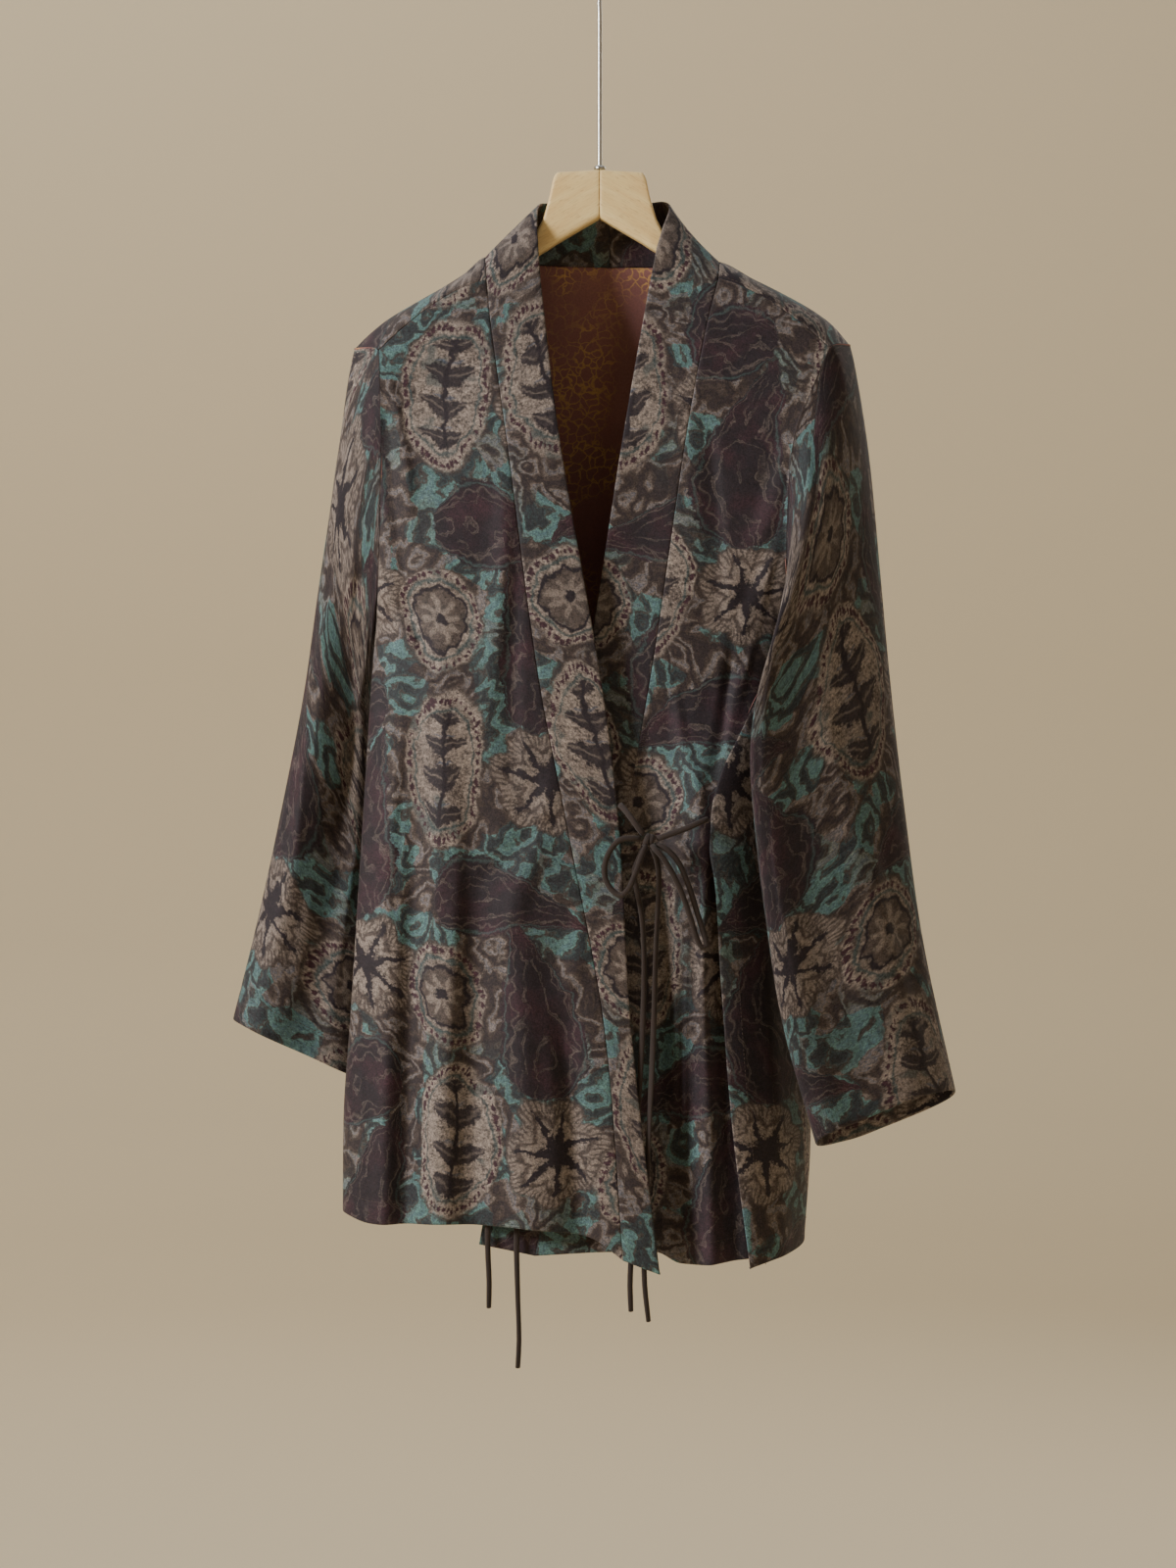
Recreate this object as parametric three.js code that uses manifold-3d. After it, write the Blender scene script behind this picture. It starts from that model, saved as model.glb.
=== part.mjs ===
// A silk wrap jacket hanging on a wooden hanger with a long steel rod and hook.
// Millimetres, +Z up, the front of the jacket faces -Y. The origin is the inside top of the hook,
// where the rail carries it, and every "drop" is a distance straight down from there.
// Left and right are the viewer's, looking at the front.

import * as THREE from "three";
import { mergeVertices } from "three/addons/utils/BufferGeometryUtils.js";
import Module from "manifold-3d";

// ---------------------------------------------------------------- driving dimensions

const CLOTH = 1.5; // wall of the single cloth
const BAND_CLOTH = 2.0; // wall of the doubled collar band
const SEAM = 0.3; // space between two pieces at a seam
const TURNED_SEAM = 0.9; // what each piece gives up where a seam runs along a rounded edge
const LAP = 8; // how far the outer front lies out and the inner front lies in where they cross
const SHOULDER_ROUND = 22; // half the thickness of the jacket just under the shoulder ridge
const ARMHOLE_SEAM = 1.8; // how far out from the body's edges a sleeve begins
const SLIT_TOP = 702; // drop at which the right side slit opens, just under the tie
const SLIT_LAP = 5; // how far the back piece lies over the front at the slit
const SLIT_LIFT = 5.8; // and how far outside it
const SLEEVE_BLUNT = 0.85; // how square a sleeve's section is: 1 is oval, near 0 is square
const SLEEVE_SETTLED = 0.24; // share of the sleeve's length that goes from armhole shape to section
const SLEEVE_FOLD_GROWS = 0.3; // share of the sleeve's length over which a fold grows
const TIE = 4.6; // thickness of the cloth ties
const ROD = 3.6; // thickness of the hanger's steel rod
const HOOK_RADIUS = 18; // inside of the hook

// The top outline of the shoulders, from armhole to armhole. The neck lies between -90 and 94.
const RIDGE = [
  { x: -195, drop: 325 },
  { x: -185, drop: 315 },
  { x: -169, drop: 302 },
  { x: -142, drop: 286 },
  { x: -111, drop: 268 },
  { x: -90, drop: 252 },
  { x: 94, drop: 256 },
  { x: 123, drop: 270 },
  { x: 147, drop: 282 },
  { x: 170, drop: 295 },
  { x: 186, drop: 307 },
  { x: 199, drop: 322 },
];

// How far the front and the back lie from the middle plane, at each height.
const DEPTH = [
  { drop: 250, front: 20, back: 22 },
  { drop: 330, front: 31, back: 33 },
  { drop: 420, front: 42, back: 42 },
  { drop: 560, front: 48, back: 48 },
  { drop: 760, front: 53, back: 52 },
  { drop: 1060, front: 60, back: 58 },
];

// The armhole seams: the front and the back branch, down to the underarm.
const ARMHOLE = {
  left: [
    { drop: 329, frontX: -175, frontY: -26, backX: -186, backY: 20 },
    { drop: 350, frontX: -174, frontY: -31, backX: -176, backY: 31 },
    { drop: 400, frontX: -173, frontY: -35, backX: -169, backY: 35 },
    { drop: 470, frontX: -174, frontY: -33, backX: -168, backY: 34 },
    { drop: 520, frontX: -176, frontY: -25, backX: -172, backY: 20 },
    { drop: 545, frontX: -178, frontY: -6, backX: -178, backY: -6 },
  ],
  right: [
    { drop: 327, frontX: 182, frontY: -26, backX: 190, backY: 20 },
    { drop: 350, frontX: 172, frontY: -31, backX: 180, backY: 31 },
    { drop: 400, frontX: 153, frontY: -37, backX: 169, backY: 35 },
    { drop: 470, frontX: 147, frontY: -40, backX: 164, backY: 34 },
    { drop: 520, frontX: 149, frontY: -30, backX: 157, backY: 22 },
    { drop: 545, frontX: 154, frontY: -8, backX: 154, backY: -8 },
  ],
};

// The side seams, from underarm to hem. The right one is drawn forward by its tie at drop 700.
const SIDE = {
  left: [
    { drop: 545, x: -178, y: -6 },
    { drop: 590, x: -181, y: -20 },
    { drop: 670, x: -186, y: -24 },
    { drop: 765, x: -192, y: -24 },
    { drop: 860, x: -198, y: -23 },
    { drop: 930, x: -203, y: -22 },
    { drop: 1012, x: -204, y: -20 },
  ],
  right: [
    { drop: 545, x: 154, y: -8 },
    { drop: 575, x: 140, y: -20 },
    { drop: 600, x: 126, y: -32 },
    { drop: 632, x: 111, y: -44 },
    { drop: 665, x: 95, y: -55 },
    { drop: 701, x: 87, y: -60 },
    { drop: 752, x: 95, y: -56 },
    { drop: 830, x: 100, y: -52 },
    { drop: 944, x: 109, y: -50 },
    { drop: 1054, x: 123, y: -50 },
  ],
};

// The right outline of the body, where the back panel turns round to the front.
const RIGHT_TURN = [
  { drop: 545, x: 154, y: -8 },
  { drop: 580, x: 154, y: 4 },
  { drop: 640, x: 158, y: 13 },
  { drop: 750, x: 163, y: 14 },
  { drop: 866, x: 167, y: 12 },
  { drop: 955, x: 169, y: 10 },
  { drop: 1034, x: 164, y: 8 },
];

// The collar band: the seam that holds it and its free edge.
// Round the neck it stands up. Its rows go from the centre of the back to each forward seam.
const NECK = {
  left: [
    { seamX: 8, seamY: 27, seamDrop: 258, edgeX: 8, edgeY: 25, edgeDrop: 209 },
    { seamX: -34, seamY: 26, seamDrop: 257, edgeX: -24, edgeY: 23, edgeDrop: 208 },
    { seamX: -68, seamY: 20, seamDrop: 255, edgeX: -43, edgeY: 15, edgeDrop: 207 },
    { seamX: -90, seamY: 0, seamDrop: 252, edgeX: -49, edgeY: -1, edgeDrop: 211 },
    { seamX: -91, seamY: -16, seamDrop: 261, edgeX: -50, edgeY: -15, edgeDrop: 226 },
    { seamX: -90, seamY: -22, seamDrop: 273, edgeX: -49, edgeY: -22, edgeDrop: 244 },
  ],
  right: [
    { seamX: 8, seamY: 27, seamDrop: 258, edgeX: 8, edgeY: 25, edgeDrop: 209 },
    { seamX: 46, seamY: 26, seamDrop: 258, edgeX: 34, edgeY: 23, edgeDrop: 207 },
    { seamX: 76, seamY: 19, seamDrop: 258, edgeX: 52, edgeY: 14, edgeDrop: 206 },
    { seamX: 94, seamY: 0, seamDrop: 256, edgeX: 56, edgeY: -1, edgeDrop: 213 },
    { seamX: 95, seamY: -16, seamDrop: 262, edgeX: 50, edgeY: -15, edgeDrop: 231 },
    { seamX: 94, seamY: -22, seamDrop: 272, edgeX: 45, edgeY: -22, edgeDrop: 248 },
  ],
};
// Down the fronts it lies flat. "down" runs from the forward seam to the hem.
const LAPEL = {
  left: [
    { down: 0, seamX: -90, seamDrop: 273, edgeX: -49, edgeDrop: 244 },
    { down: 0.05, seamX: -87, seamDrop: 305, edgeX: -46, edgeDrop: 281 },
    { down: 0.2, seamX: -72, seamDrop: 413, edgeX: -31, edgeDrop: 405 },
    { down: 0.4, seamX: -49, seamDrop: 585, edgeX: 1, edgeDrop: 592 },
    { down: 0.55, seamX: -27, seamDrop: 700, edgeX: 15, edgeDrop: 706 },
    { down: 0.75, seamX: 3, seamDrop: 862, edgeX: 25, edgeDrop: 868 },
    { down: 1, seamX: 18, seamDrop: 1046, edgeX: 47, edgeDrop: 1057 },
  ],
  right: [
    { down: 0, seamX: 94, seamDrop: 272, edgeX: 45, edgeDrop: 248 },
    { down: 0.05, seamX: 84, seamDrop: 312, edgeX: 36, edgeDrop: 296 },
    { down: 0.2, seamX: 67, seamDrop: 405, edgeX: 18, edgeDrop: 400 },
    { down: 0.4, seamX: 41, seamDrop: 582, edgeX: -9, edgeDrop: 572 },
    { down: 0.6, seamX: 12, seamDrop: 740, edgeX: -38, edgeDrop: 726 },
    { down: 0.8, seamX: -22, seamDrop: 892, edgeX: -67, edgeDrop: 880 },
    { down: 1, seamX: -51, seamDrop: 1044, edgeX: -95, edgeDrop: 1035 },
  ],
};

// The hems, from the band seam (across 0) to the side (across 1).
const HEM = {
  left: [
    { across: 0, drop: 1046 },
    { across: 0.1, drop: 1030 },
    { across: 0.25, drop: 1023 },
    { across: 0.6, drop: 1018 },
    { across: 0.9, drop: 1019 },
    { across: 1, drop: 1012 },
  ],
  right: [
    { across: 0, drop: 1044 },
    { across: 0.35, drop: 1041 },
    { across: 0.56, drop: 1043 },
    { across: 0.66, drop: 1052 },
    { across: 1, drop: 1046 },
  ],
  back: [
    { across: 0, drop: 1012 },
    { across: 0.5, drop: 1026 },
    { across: 0.9, drop: 1046 },
    { across: 1, drop: 1038 },
  ],
};

// The long folds: where each lies at its top and at the hem, its half-width and how far it stands out.
const FOLDS = {
  left: [
    { from: 560, topX: -160, hemX: -172, width: 11, depth: 7 },
    { from: 540, topX: -140, hemX: -153, width: 11, depth: -7 },
    { from: 420, topX: -122, hemX: -126, width: 17, depth: 6 },
    { from: 640, topX: -96, hemX: -92, width: 13, depth: -6 },
    { from: 640, topX: -74, hemX: -52, width: 17, depth: 6 },
    { from: 760, topX: -36, hemX: -14, width: 12, depth: -5 },
  ],
  right: [
    { from: 560, topX: 72, hemX: 66, width: 8, depth: 9 },
    { from: 690, topX: 38, hemX: 44, width: 11, depth: -5 },
    { from: 720, topX: 84, hemX: 92, width: 7, depth: -6 },
  ],
  back: [
    { from: 430, topX: -110, hemX: -128, width: 20, depth: 8 },
    { from: 520, topX: -70, hemX: -84, width: 15, depth: -7 },
    { from: 480, topX: -20, hemX: -32, width: 22, depth: 8 },
    { from: 600, topX: 28, hemX: 22, width: 15, depth: -8 },
    { from: 460, topX: 72, hemX: 78, width: 20, depth: 9 },
    { from: 560, topX: 118, hemX: 122, width: 14, depth: -7 },
  ],
};

// The sleeves: the outer and the inner edge of each section, from armhole to cuff, and half its depth.
// "lean" is how much lower the back of a section hangs than its middle, and "skew" how much nearer the
// body its front lies than its middle.
const SLEEVE = {
  left: [
    { down: 0, outX: -195, outY: 0, outDrop: 325, inX: -178, inY: -6, inDrop: 545, deep: 33, lean: 0, skew: 0 },
    { down: 0.12, outX: -204, outY: 0, outDrop: 366, inX: -181, inY: 14, inDrop: 578, deep: 34, lean: 0, skew: -3 },
    { down: 0.25, outX: -212, outY: 6, outDrop: 437, inX: -180, inY: 34, inDrop: 612, deep: 33, lean: 0, skew: -5 },
    { down: 0.4, outX: -224, outY: 13, outDrop: 515, inX: -177, inY: 46, inDrop: 655, deep: 31, lean: 0, skew: -5 },
    { down: 0.55, outX: -237, outY: 20, outDrop: 600, inX: -176, inY: 52, inDrop: 706, deep: 29, lean: 0, skew: -4 },
    { down: 0.7, outX: -255, outY: 27, outDrop: 690, inX: -178, inY: 55, inDrop: 768, deep: 28, lean: 0, skew: -3 },
    { down: 0.85, outX: -275, outY: 33, outDrop: 780, inX: -183, inY: 56, inDrop: 842, deep: 28, lean: 0, skew: -2 },
    { down: 1, outX: -296, outY: 36, outDrop: 863, inX: -188, inY: 56, inDrop: 914, deep: 29, lean: 0, skew: 0 },
  ],
  right: [
    { down: 0, outX: 199, outY: 0, outDrop: 322, inX: 154, inY: -8, inDrop: 545, deep: 34, lean: 0, skew: 0 },
    { down: 0.12, outX: 208, outY: -1, outDrop: 360, inX: 142, inY: -46, inDrop: 574, deep: 33, lean: 0, skew: 10 },
    { down: 0.25, outX: 215, outY: -2, outDrop: 432, inX: 127, inY: -66, inDrop: 606, deep: 28, lean: 1, skew: 14 },
    { down: 0.4, outX: 223, outY: -5, outDrop: 515, inX: 119, inY: -76, inDrop: 650, deep: 23, lean: 2, skew: 12 },
    { down: 0.55, outX: 232, outY: -9, outDrop: 604, inX: 121, inY: -79, inDrop: 706, deep: 21, lean: 3, skew: 8 },
    { down: 0.7, outX: 243, outY: -14, outDrop: 700, inX: 129, inY: -81, inDrop: 776, deep: 21, lean: 4, skew: 6 },
    { down: 0.85, outX: 257, outY: -20, outDrop: 800, inX: 142, inY: -83, inDrop: 860, deep: 22, lean: 6, skew: 4 },
    { down: 1, outX: 282, outY: -26, outDrop: 917, inX: 168, inY: -78, inDrop: 954, deep: 24, lean: 8, skew: 2 },
  ],
};
// The sleeves' own long folds: the turn round the section at top and cuff (0 outer edge, 90 front).
const SLEEVE_FOLDS = {
  left: [
    { from: 0.25, topTurn: 70, cuffTurn: 55, width: 16, depth: 4 },
    { from: 0.15, topTurn: 110, cuffTurn: 95, width: 15, depth: -5 },
    { from: 0.3, topTurn: 280, cuffTurn: 270, width: 20, depth: 5 },
  ],
  right: [
    { from: 0.1, topTurn: 95, cuffTurn: 110, width: 16, depth: -4 },
    { from: 0.35, topTurn: 60, cuffTurn: 65, width: 16, depth: 4 },
    { from: 0.3, topTurn: 260, cuffTurn: 250, width: 18, depth: 4 },
  ],
};

// One half of the hanger out along its head: its upper and lower edge, its thickness, and "blunt",
// how square its section is (1 is oval, near 0 is square).
const HANGER = [
  { out: 0, top: 183, bottom: 222, thick: 17, blunt: 0.45 },
  { out: 34, top: 185, bottom: 242, thick: 17, blunt: 0.45 },
  { out: 37, top: 189, bottom: 244, thick: 17, blunt: 0.45 },
  { out: 40, top: 204, bottom: 246, thick: 17, blunt: 0.45 },
  { out: 45, top: 222, bottom: 249, thick: 17, blunt: 0.45 },
  { out: 51, top: 233, bottom: 253, thick: 17.5, blunt: 0.45 },
  { out: 70, top: 248, bottom: 268, thick: 19, blunt: 0.85 },
];
// And along its arm under the cloth, where "under" is how far the wood lies below the shoulder ridge.
const HANGER_ARM = [
  { out: 98, under: 4.6, height: 21, thick: 21, blunt: 0.85 },
  { out: 118, under: 4.6, height: 21, thick: 23, blunt: 0.85 },
  { out: 140, under: 4.6, height: 21, thick: 24, blunt: 0.85 },
  { out: 160, under: 4.6, height: 21, thick: 24, blunt: 0.85 },
  { out: 170, under: 5.6, height: 19, thick: 22, blunt: 0.85 },
  { out: 174, under: 8, height: 12, thick: 14, blunt: 0.85 },
];
const ROD_SOCKET = 24; // how deep the rod goes into the wood
const ROD_STEM = [46, 60, 100, 140, 186]; // drops at which the straight rod is fixed
const HOOK_TURN = { from: -62, to: 200, steps: 12 }; // the round of the hook, 0 to the right, 90 the top
const HOOK_BEND = { x: 2.2, drop: 40 }; // where the rod begins to lean into the hook
const FERRULE = { radius: 4.6, height: 3.2, bevel: 1 }; // the steel ring where the rod meets the wood

// Where the free ties run, as points chosen along each: x, y, drop.
const KNOT = { x: 38, y: -73, drop: 717, wide: 12, high: 10, thick: 10 };
const TIES = {
  tie_left: [
    [15.5, -67, 689],
    [20, -72, 694],
    [26, -76, 702],
    [31, -76, 709],
    [34.1, -74.7, 712.5],
  ],
  tie_right: [
    [84.5, -66.5, 700.5],
    [77, -70, 703.5],
    [68, -72, 707.5],
    [57, -73, 711.5],
    [48, -73.5, 714.6],
    [44.5, -73.3, 715.5],
  ],
  bow_loop_left: [
    [31.4, -75.5, 716.2],
    [25, -78, 715.5],
    [16, -79.5, 716.5],
    [8.5, -79.5, 724],
    [4, -79, 735],
    [4, -78.5, 746],
    [9, -78.5, 755.5],
    [16, -79, 760],
    [22, -80, 755],
    [27, -81, 744],
    [31, -80.5, 733],
    [34, -78, 725],
    [36, -76.8, 721.4],
  ],
  bow_loop_right: [
    [43.9, -74.1, 719.9],
    [52, -75.5, 724],
    [61, -74, 734],
    [69, -72, 752],
    [76, -70, 774],
    [82, -69, 793],
    [83.5, -69, 799],
    [80.5, -69.5, 801.5],
    [76.5, -71, 796],
    [71, -73, 779],
    [64, -75.5, 759],
    [56, -78, 742],
    [48.5, -80, 730],
    [42.5, -80, 723.5],
    [40.5, -77, 720.8],
  ],
  bow_tail_left: [
    [34.1, -71.3, 721.9],
    [31, -70.5, 730],
    [26.5, -69.5, 742],
    [29, -67, 757],
    [32.5, -64.5, 775],
    [34.5, -61, 805],
    [34, -59, 850],
    [31.5, -59.5, 900],
    [28.5, -60, 950],
    [26, -61, 1000],
    [24.5, -61.5, 1040],
    [23.5, -62, 1065],
    [24.2, -62, 1086],
  ],
  bow_tail_right: [
    [40.2, -71.9, 722.2],
    [44, -70, 731],
    [46, -68.5, 745],
    [45, -66.5, 775],
    [43.5, -63.5, 810],
    [42.5, -61, 850],
    [40.5, -60.5, 900],
    [38, -61, 950],
    [36, -61.5, 1000],
    [34.5, -62, 1040],
    [35, -62.5, 1066],
    [38, -62, 1094],
  ],
  inner_tie_left: [
    [-39, -47, 716],
    [-46, -48.6, 722],
    [-56, -49.5, 738],
    [-66, -50, 770],
    [-75, -50.5, 820],
    [-82, -51.5, 880],
    [-86, -52.5, 940],
    [-88, -54, 1000],
    [-88, -55.5, 1040],
    [-87, -56, 1062],
    [-87.2, -56, 1084],
  ],
  inner_tie_right: [
    [-34, -47, 726],
    [-38, -48.8, 734],
    [-44, -50, 752],
    [-51, -51.5, 790],
    [-57, -52.5, 850],
    [-61, -53.5, 920],
    [-64, -54.5, 980],
    [-65.5, -56, 1030],
    [-64.5, -56.5, 1075],
    [-63.5, -56.5, 1110],
    [-64.5, -56.5, 1131],
  ],
};

// How finely each cloth is divided.
const DIVISIONS = { front: 18, frontDown: 20, back: 26, backDown: 18, wrap: 5, sleeve: 14, band: 3 };

// ---------------------------------------------------------------- reading tables, and walls

// A table's column read smoothly at any place between its rows.
function read(table, key, column, at) {
  const last = table.length - 1;
  if (at <= table[0][key]) return table[0][column];
  if (at >= table[last][key]) return table[last][column];
  let row = 0;
  while (table[row + 1][key] < at) row += 1;
  const slope = (index) => {
    const before = table[Math.max(index - 1, 0)];
    const after = table[Math.min(index + 1, last)];
    return (after[column] - before[column]) / (after[key] - before[key]);
  };
  const start = table[row];
  const end = table[row + 1];
  const span = end[key] - start[key];
  const t = (at - start[key]) / span;
  return (
    start[column] * (1 + 2 * t) * (1 - t) ** 2 +
    end[column] * t * t * (3 - 2 * t) +
    slope(row) * span * t * (1 - t) ** 2 -
    slope(row + 1) * span * t * t * (1 - t)
  );
}

const mix = (a, b, share) => a + (b - a) * share;

// 0 at the start of a stretch, 1 past its end, smooth between.
function ease(at, start, end) {
  const t = Math.min(Math.max((at - start) / (end - start), 0), 1);
  return t * t * (3 - 2 * t);
}

// A quarter turn of a rounded section: 0 to 1 as share goes from 0 to 1, steep at the end.
const turned = (share, power) => 1 - (1 - Math.min(share, 1) ** power) ** (1 / power);

const point = (x, y, drop) => new THREE.Vector3(x, y, -drop);

// How far the folds of a panel stand out at a place.
function foldHeight(folds, x, drop, hem) {
  let height = 0;
  for (const fold of folds) {
    const centre = mix(fold.topX, fold.hemX, (drop - fold.from) / (hem - fold.from));
    const grown = ease(drop, fold.from, fold.from + 0.7 * (hem - fold.from));
    height += fold.depth * grown * Math.exp(-(((x - centre) / fold.width) ** 2));
  }
  return height;
}

// A closed cloth wall from grids of outer points (rows of points). Grids that share points are joined.
// Seen from outside, a row runs to the right and the rows follow downwards.
function clothWall(grids, thickness) {
  const points = [];
  const known = new Map();
  const index = (p) => {
    const name = [p.x, p.y, p.z].map((value) => Math.round(value * 1000)).join(" ");
    if (!known.has(name)) {
      known.set(name, points.length);
      points.push(p);
    }
    return known.get(name);
  };
  const faces = [];
  for (const grid of grids) {
    for (let r = 0; r + 1 < grid.length; r += 1) {
      for (let c = 0; c + 1 < grid[r].length; c += 1) {
        const a = index(grid[r][c]);
        const b = index(grid[r][c + 1]);
        const d = index(grid[r + 1][c]);
        const e = index(grid[r + 1][c + 1]);
        for (const face of [[a, d, e], [a, e, b]]) {
          if (new Set(face).size === 3) faces.push(face);
        }
      }
    }
  }
  const normals = points.map(() => new THREE.Vector3());
  for (const [a, b, c] of faces) {
    const ab = points[b].clone().sub(points[a]);
    const facing = ab.cross(points[c].clone().sub(points[a]));
    for (const corner of [a, b, c]) normals[corner].add(facing);
  }
  const count = points.length;
  const inner = points.map((p, i) => p.clone().addScaledVector(normals[i].normalize(), -thickness));
  const edges = new Set(faces.flatMap(([a, b, c]) => [`${a} ${b}`, `${b} ${c}`, `${c} ${a}`]));
  const closed = [...faces];
  for (const [a, b, c] of faces) closed.push([a + count, c + count, b + count]);
  for (const edge of edges) {
    const [a, b] = edge.split(" ").map(Number);
    if (!edges.has(`${b} ${a}`)) closed.push([a, a + count, b + count], [a, b + count, b]);
  }
  return geometryOf([...points, ...inner], closed);
}

function geometryOf(points, faces) {
  const geometry = new THREE.BufferGeometry();
  const flat = points.flatMap((p) => [p.x, p.y, p.z]);
  geometry.setAttribute("position", new THREE.Float32BufferAttribute(flat, 3));
  geometry.setIndex(faces.flat());
  geometry.computeVertexNormals();
  return geometry;
}

// ---------------------------------------------------------------- the body's guide lines

const forwardSeam = {
  left: (across) => point(mix(-90, -175, across), mix(-22, -26, across), 273 + 8 * across + 48 * across ** 1.6),
  right: (across) => point(mix(94, 182, across), mix(-22, -26, across), 272 + 10 * across + 45 * across ** 1.6),
};

// How much the crossing of the fronts has set in, at a height.
const crossed = (drop) => ease(drop, 300, 520);
const frontY = { left: -LAP, right: LAP };

// The band's seam on a front, from the forward seam down to the hem, and the band's free edge.
function lapelPoint(side, line, down) {
  const x = read(LAPEL[side], "down", `${line}X`, down);
  const drop = read(LAPEL[side], "down", `${line}Drop`, down);
  const settled = ease(down, 0, 0.05);
  const depth = read(DEPTH, "drop", "front", drop);
  return point(x, mix(-22, -depth + frontY[side] * crossed(drop), settled), drop);
}

// A front's side edge: the armhole down to the underarm, then the side seam.
function frontSide(side, drop) {
  const hole = ARMHOLE[side];
  const underarm = hole[hole.length - 1].drop;
  if (drop < underarm) {
    return point(read(hole, "drop", "frontX", drop), read(hole, "drop", "frontY", drop), drop);
  }
  return point(read(SIDE[side], "drop", "x", drop), read(SIDE[side], "drop", "y", drop), drop);
}

// The back's side edge: the armhole, then the left side seam or the turn at the right.
function backSide(side, drop) {
  const hole = ARMHOLE[side];
  const underarm = hole[hole.length - 1].drop;
  if (drop < underarm) {
    const top = RIDGE[side === "left" ? 0 : RIDGE.length - 1];
    const rows = [{ drop: top.drop, backX: top.x, backY: 0 }, ...hole];
    return point(read(rows, "drop", "backX", drop), read(rows, "drop", "backY", drop), drop);
  }
  const below = side === "left" ? SIDE.left : RIGHT_TURN;
  return point(read(below, "drop", "x", drop), read(below, "drop", "y", drop), drop);
}

// ---------------------------------------------------------------- the cut pieces

// A front, from the band seam to its side edge.
function frontGrid(side) {
  const grid = [];
  const away = side === "left" ? -1 : 1;
  const seamTop = -forwardSeam[side](0).z;
  const sideTop = -forwardSeam[side](1).z;
  const sideHem = read(HEM[side], "across", "drop", 1);
  for (let r = 0; r <= DIVISIONS.frontDown; r += 1) {
    const down = (r / DIVISIONS.frontDown) ** 1.15;
    const seam = lapelPoint(side, "seam", down);
    const edge = frontSide(side, mix(sideTop, sideHem, down));
    const row = [];
    for (let c = 0; c <= DIVISIONS.front; c += 1) {
      const share = Math.sin(((c / DIVISIONS.front) * Math.PI) / 2) ** 0.8;
      const hem = read(HEM[side], "across", "drop", share);
      const level = mix(-seam.z, -edge.z, share);
      const drop = level + (hem - mix(-lapelPoint(side, "seam", 1).z, sideHem, share)) * down ** 2;
      const bow = -forwardSeam[side](share).z - mix(seamTop, sideTop, share);
      const flat = side === "right" ? ease(drop, 545, 650) : 0;
      const power = mix(mix(1, 2.4, ease(down, 0, 0.16)), 1.3, flat);
      const x = mix(seam.x, edge.x, share);
      const fold = foldHeight(FOLDS[side], x, drop, hem) * (1 - share ** 8) * ease(share, 0, 0.06);
      const y = mix(seam.y, edge.y, turned(share, power)) - fold;
      const top = (1 - down) ** 6;
      row.push(point(x, y, drop + bow * top));
    }
    grid.push(row);
  }
  insetGrid(grid, SEAM, TURNED_SEAM, TURNED_SEAM);
  return away < 0 ? grid.map((row) => row.reverse()) : grid;
}

// Draws the first row and both end columns of a grid in, so that its neighbours at the seams stay clear.
function insetGrid(grid, first, last, top) {
  const move = (from, toward, inset) => from.add(toward.clone().sub(from).setLength(inset));
  for (const row of grid) {
    move(row[0], row[1], first);
    move(row[row.length - 1], row[row.length - 2], last);
  }
  grid[0].forEach((p, c) => move(p, grid[1][c], top));
}

// The top line of the back: the left ridge, round the neck seam, and the right ridge.
function backTop(share) {
  const ends = { left: 0.27, right: 0.73 };
  if (share <= ends.left) {
    const x = mix(RIDGE[0].x, -90, share / ends.left);
    return point(x, 0, read(RIDGE, "x", "drop", x));
  }
  if (share >= ends.right) {
    const x = mix(94, RIDGE[RIDGE.length - 1].x, (share - ends.right) / (1 - ends.right));
    return point(x, 0, read(RIDGE, "x", "drop", x));
  }
  const centre = (ends.left + ends.right) / 2;
  const side = share < centre ? "left" : "right";
  const round = (Math.abs(share - centre) / (centre - ends.left)) * 3;
  const rows = NECK[side].map((row, order) => ({ ...row, order }));
  return point(
    read(rows, "order", "seamX", round),
    read(rows, "order", "seamY", round),
    read(rows, "order", "seamDrop", round),
  );
}

// The back piece: the whole back, the two strips that pass over the shoulders to the forward seams,
// and the part that turns round the right side to the side seam.
function backGrids() {
  const main = [];
  for (let r = 0; r <= DIVISIONS.backDown; r += 1) {
    const down = (r / DIVISIONS.backDown) ** 1.8;
    const row = [];
    for (let c = 0; c <= DIVISIONS.back; c += 1) {
      const across = c / DIVISIONS.back;
      const top = backTop(across);
      const hem = read(HEM.back, "across", "drop", across);
      const drop = mix(-top.z, hem, down);
      const left = backSide("left", mix(RIDGE[0].drop, HEM.back[0].drop, down));
      const right = backSide("right", mix(RIDGE[RIDGE.length - 1].drop, HEM.back[3].drop, down));
      const wide = (1 - Math.cos(across * Math.PI)) / 2;
      const share = mix(across, wide, 0.6);
      const level = mix(left.x, right.x, share);
      const x = mix(top.x, level, ease(down, 0, 0.3));
      const deep = read(DEPTH, "drop", "back", drop);
      const middle = Math.abs(2 * share - 1);
      const edge = share < 0.5 ? left.y : right.y;
      const power = mix(3, 1.9, ease(drop, 520, 640));
      const folded = foldHeight(FOLDS.back, x, drop, hem) * (1 - middle ** 6);
      const section = mix(deep, edge, turned(middle, power)) + folded;
      const fallen = Math.min((drop + top.z) / SHOULDER_ROUND, 1);
      const over = Math.sqrt(1 - (1 - fallen) ** 2);
      row.push(point(x, mix(top.y, section, over), drop));
    }
    main.push(row);
  }
  insetGrid(main, TURNED_SEAM, TURNED_SEAM, SEAM * 2);
  const grids = [main.map((row) => row.toReversed())];
  grids.push(shoulderStrip("left", main[0].slice(0, 8)));
  grids.push(shoulderStrip("right", main[0].slice(-8).reverse()));
  grids.push(rightWrap(main));
  return grids;
}

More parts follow.
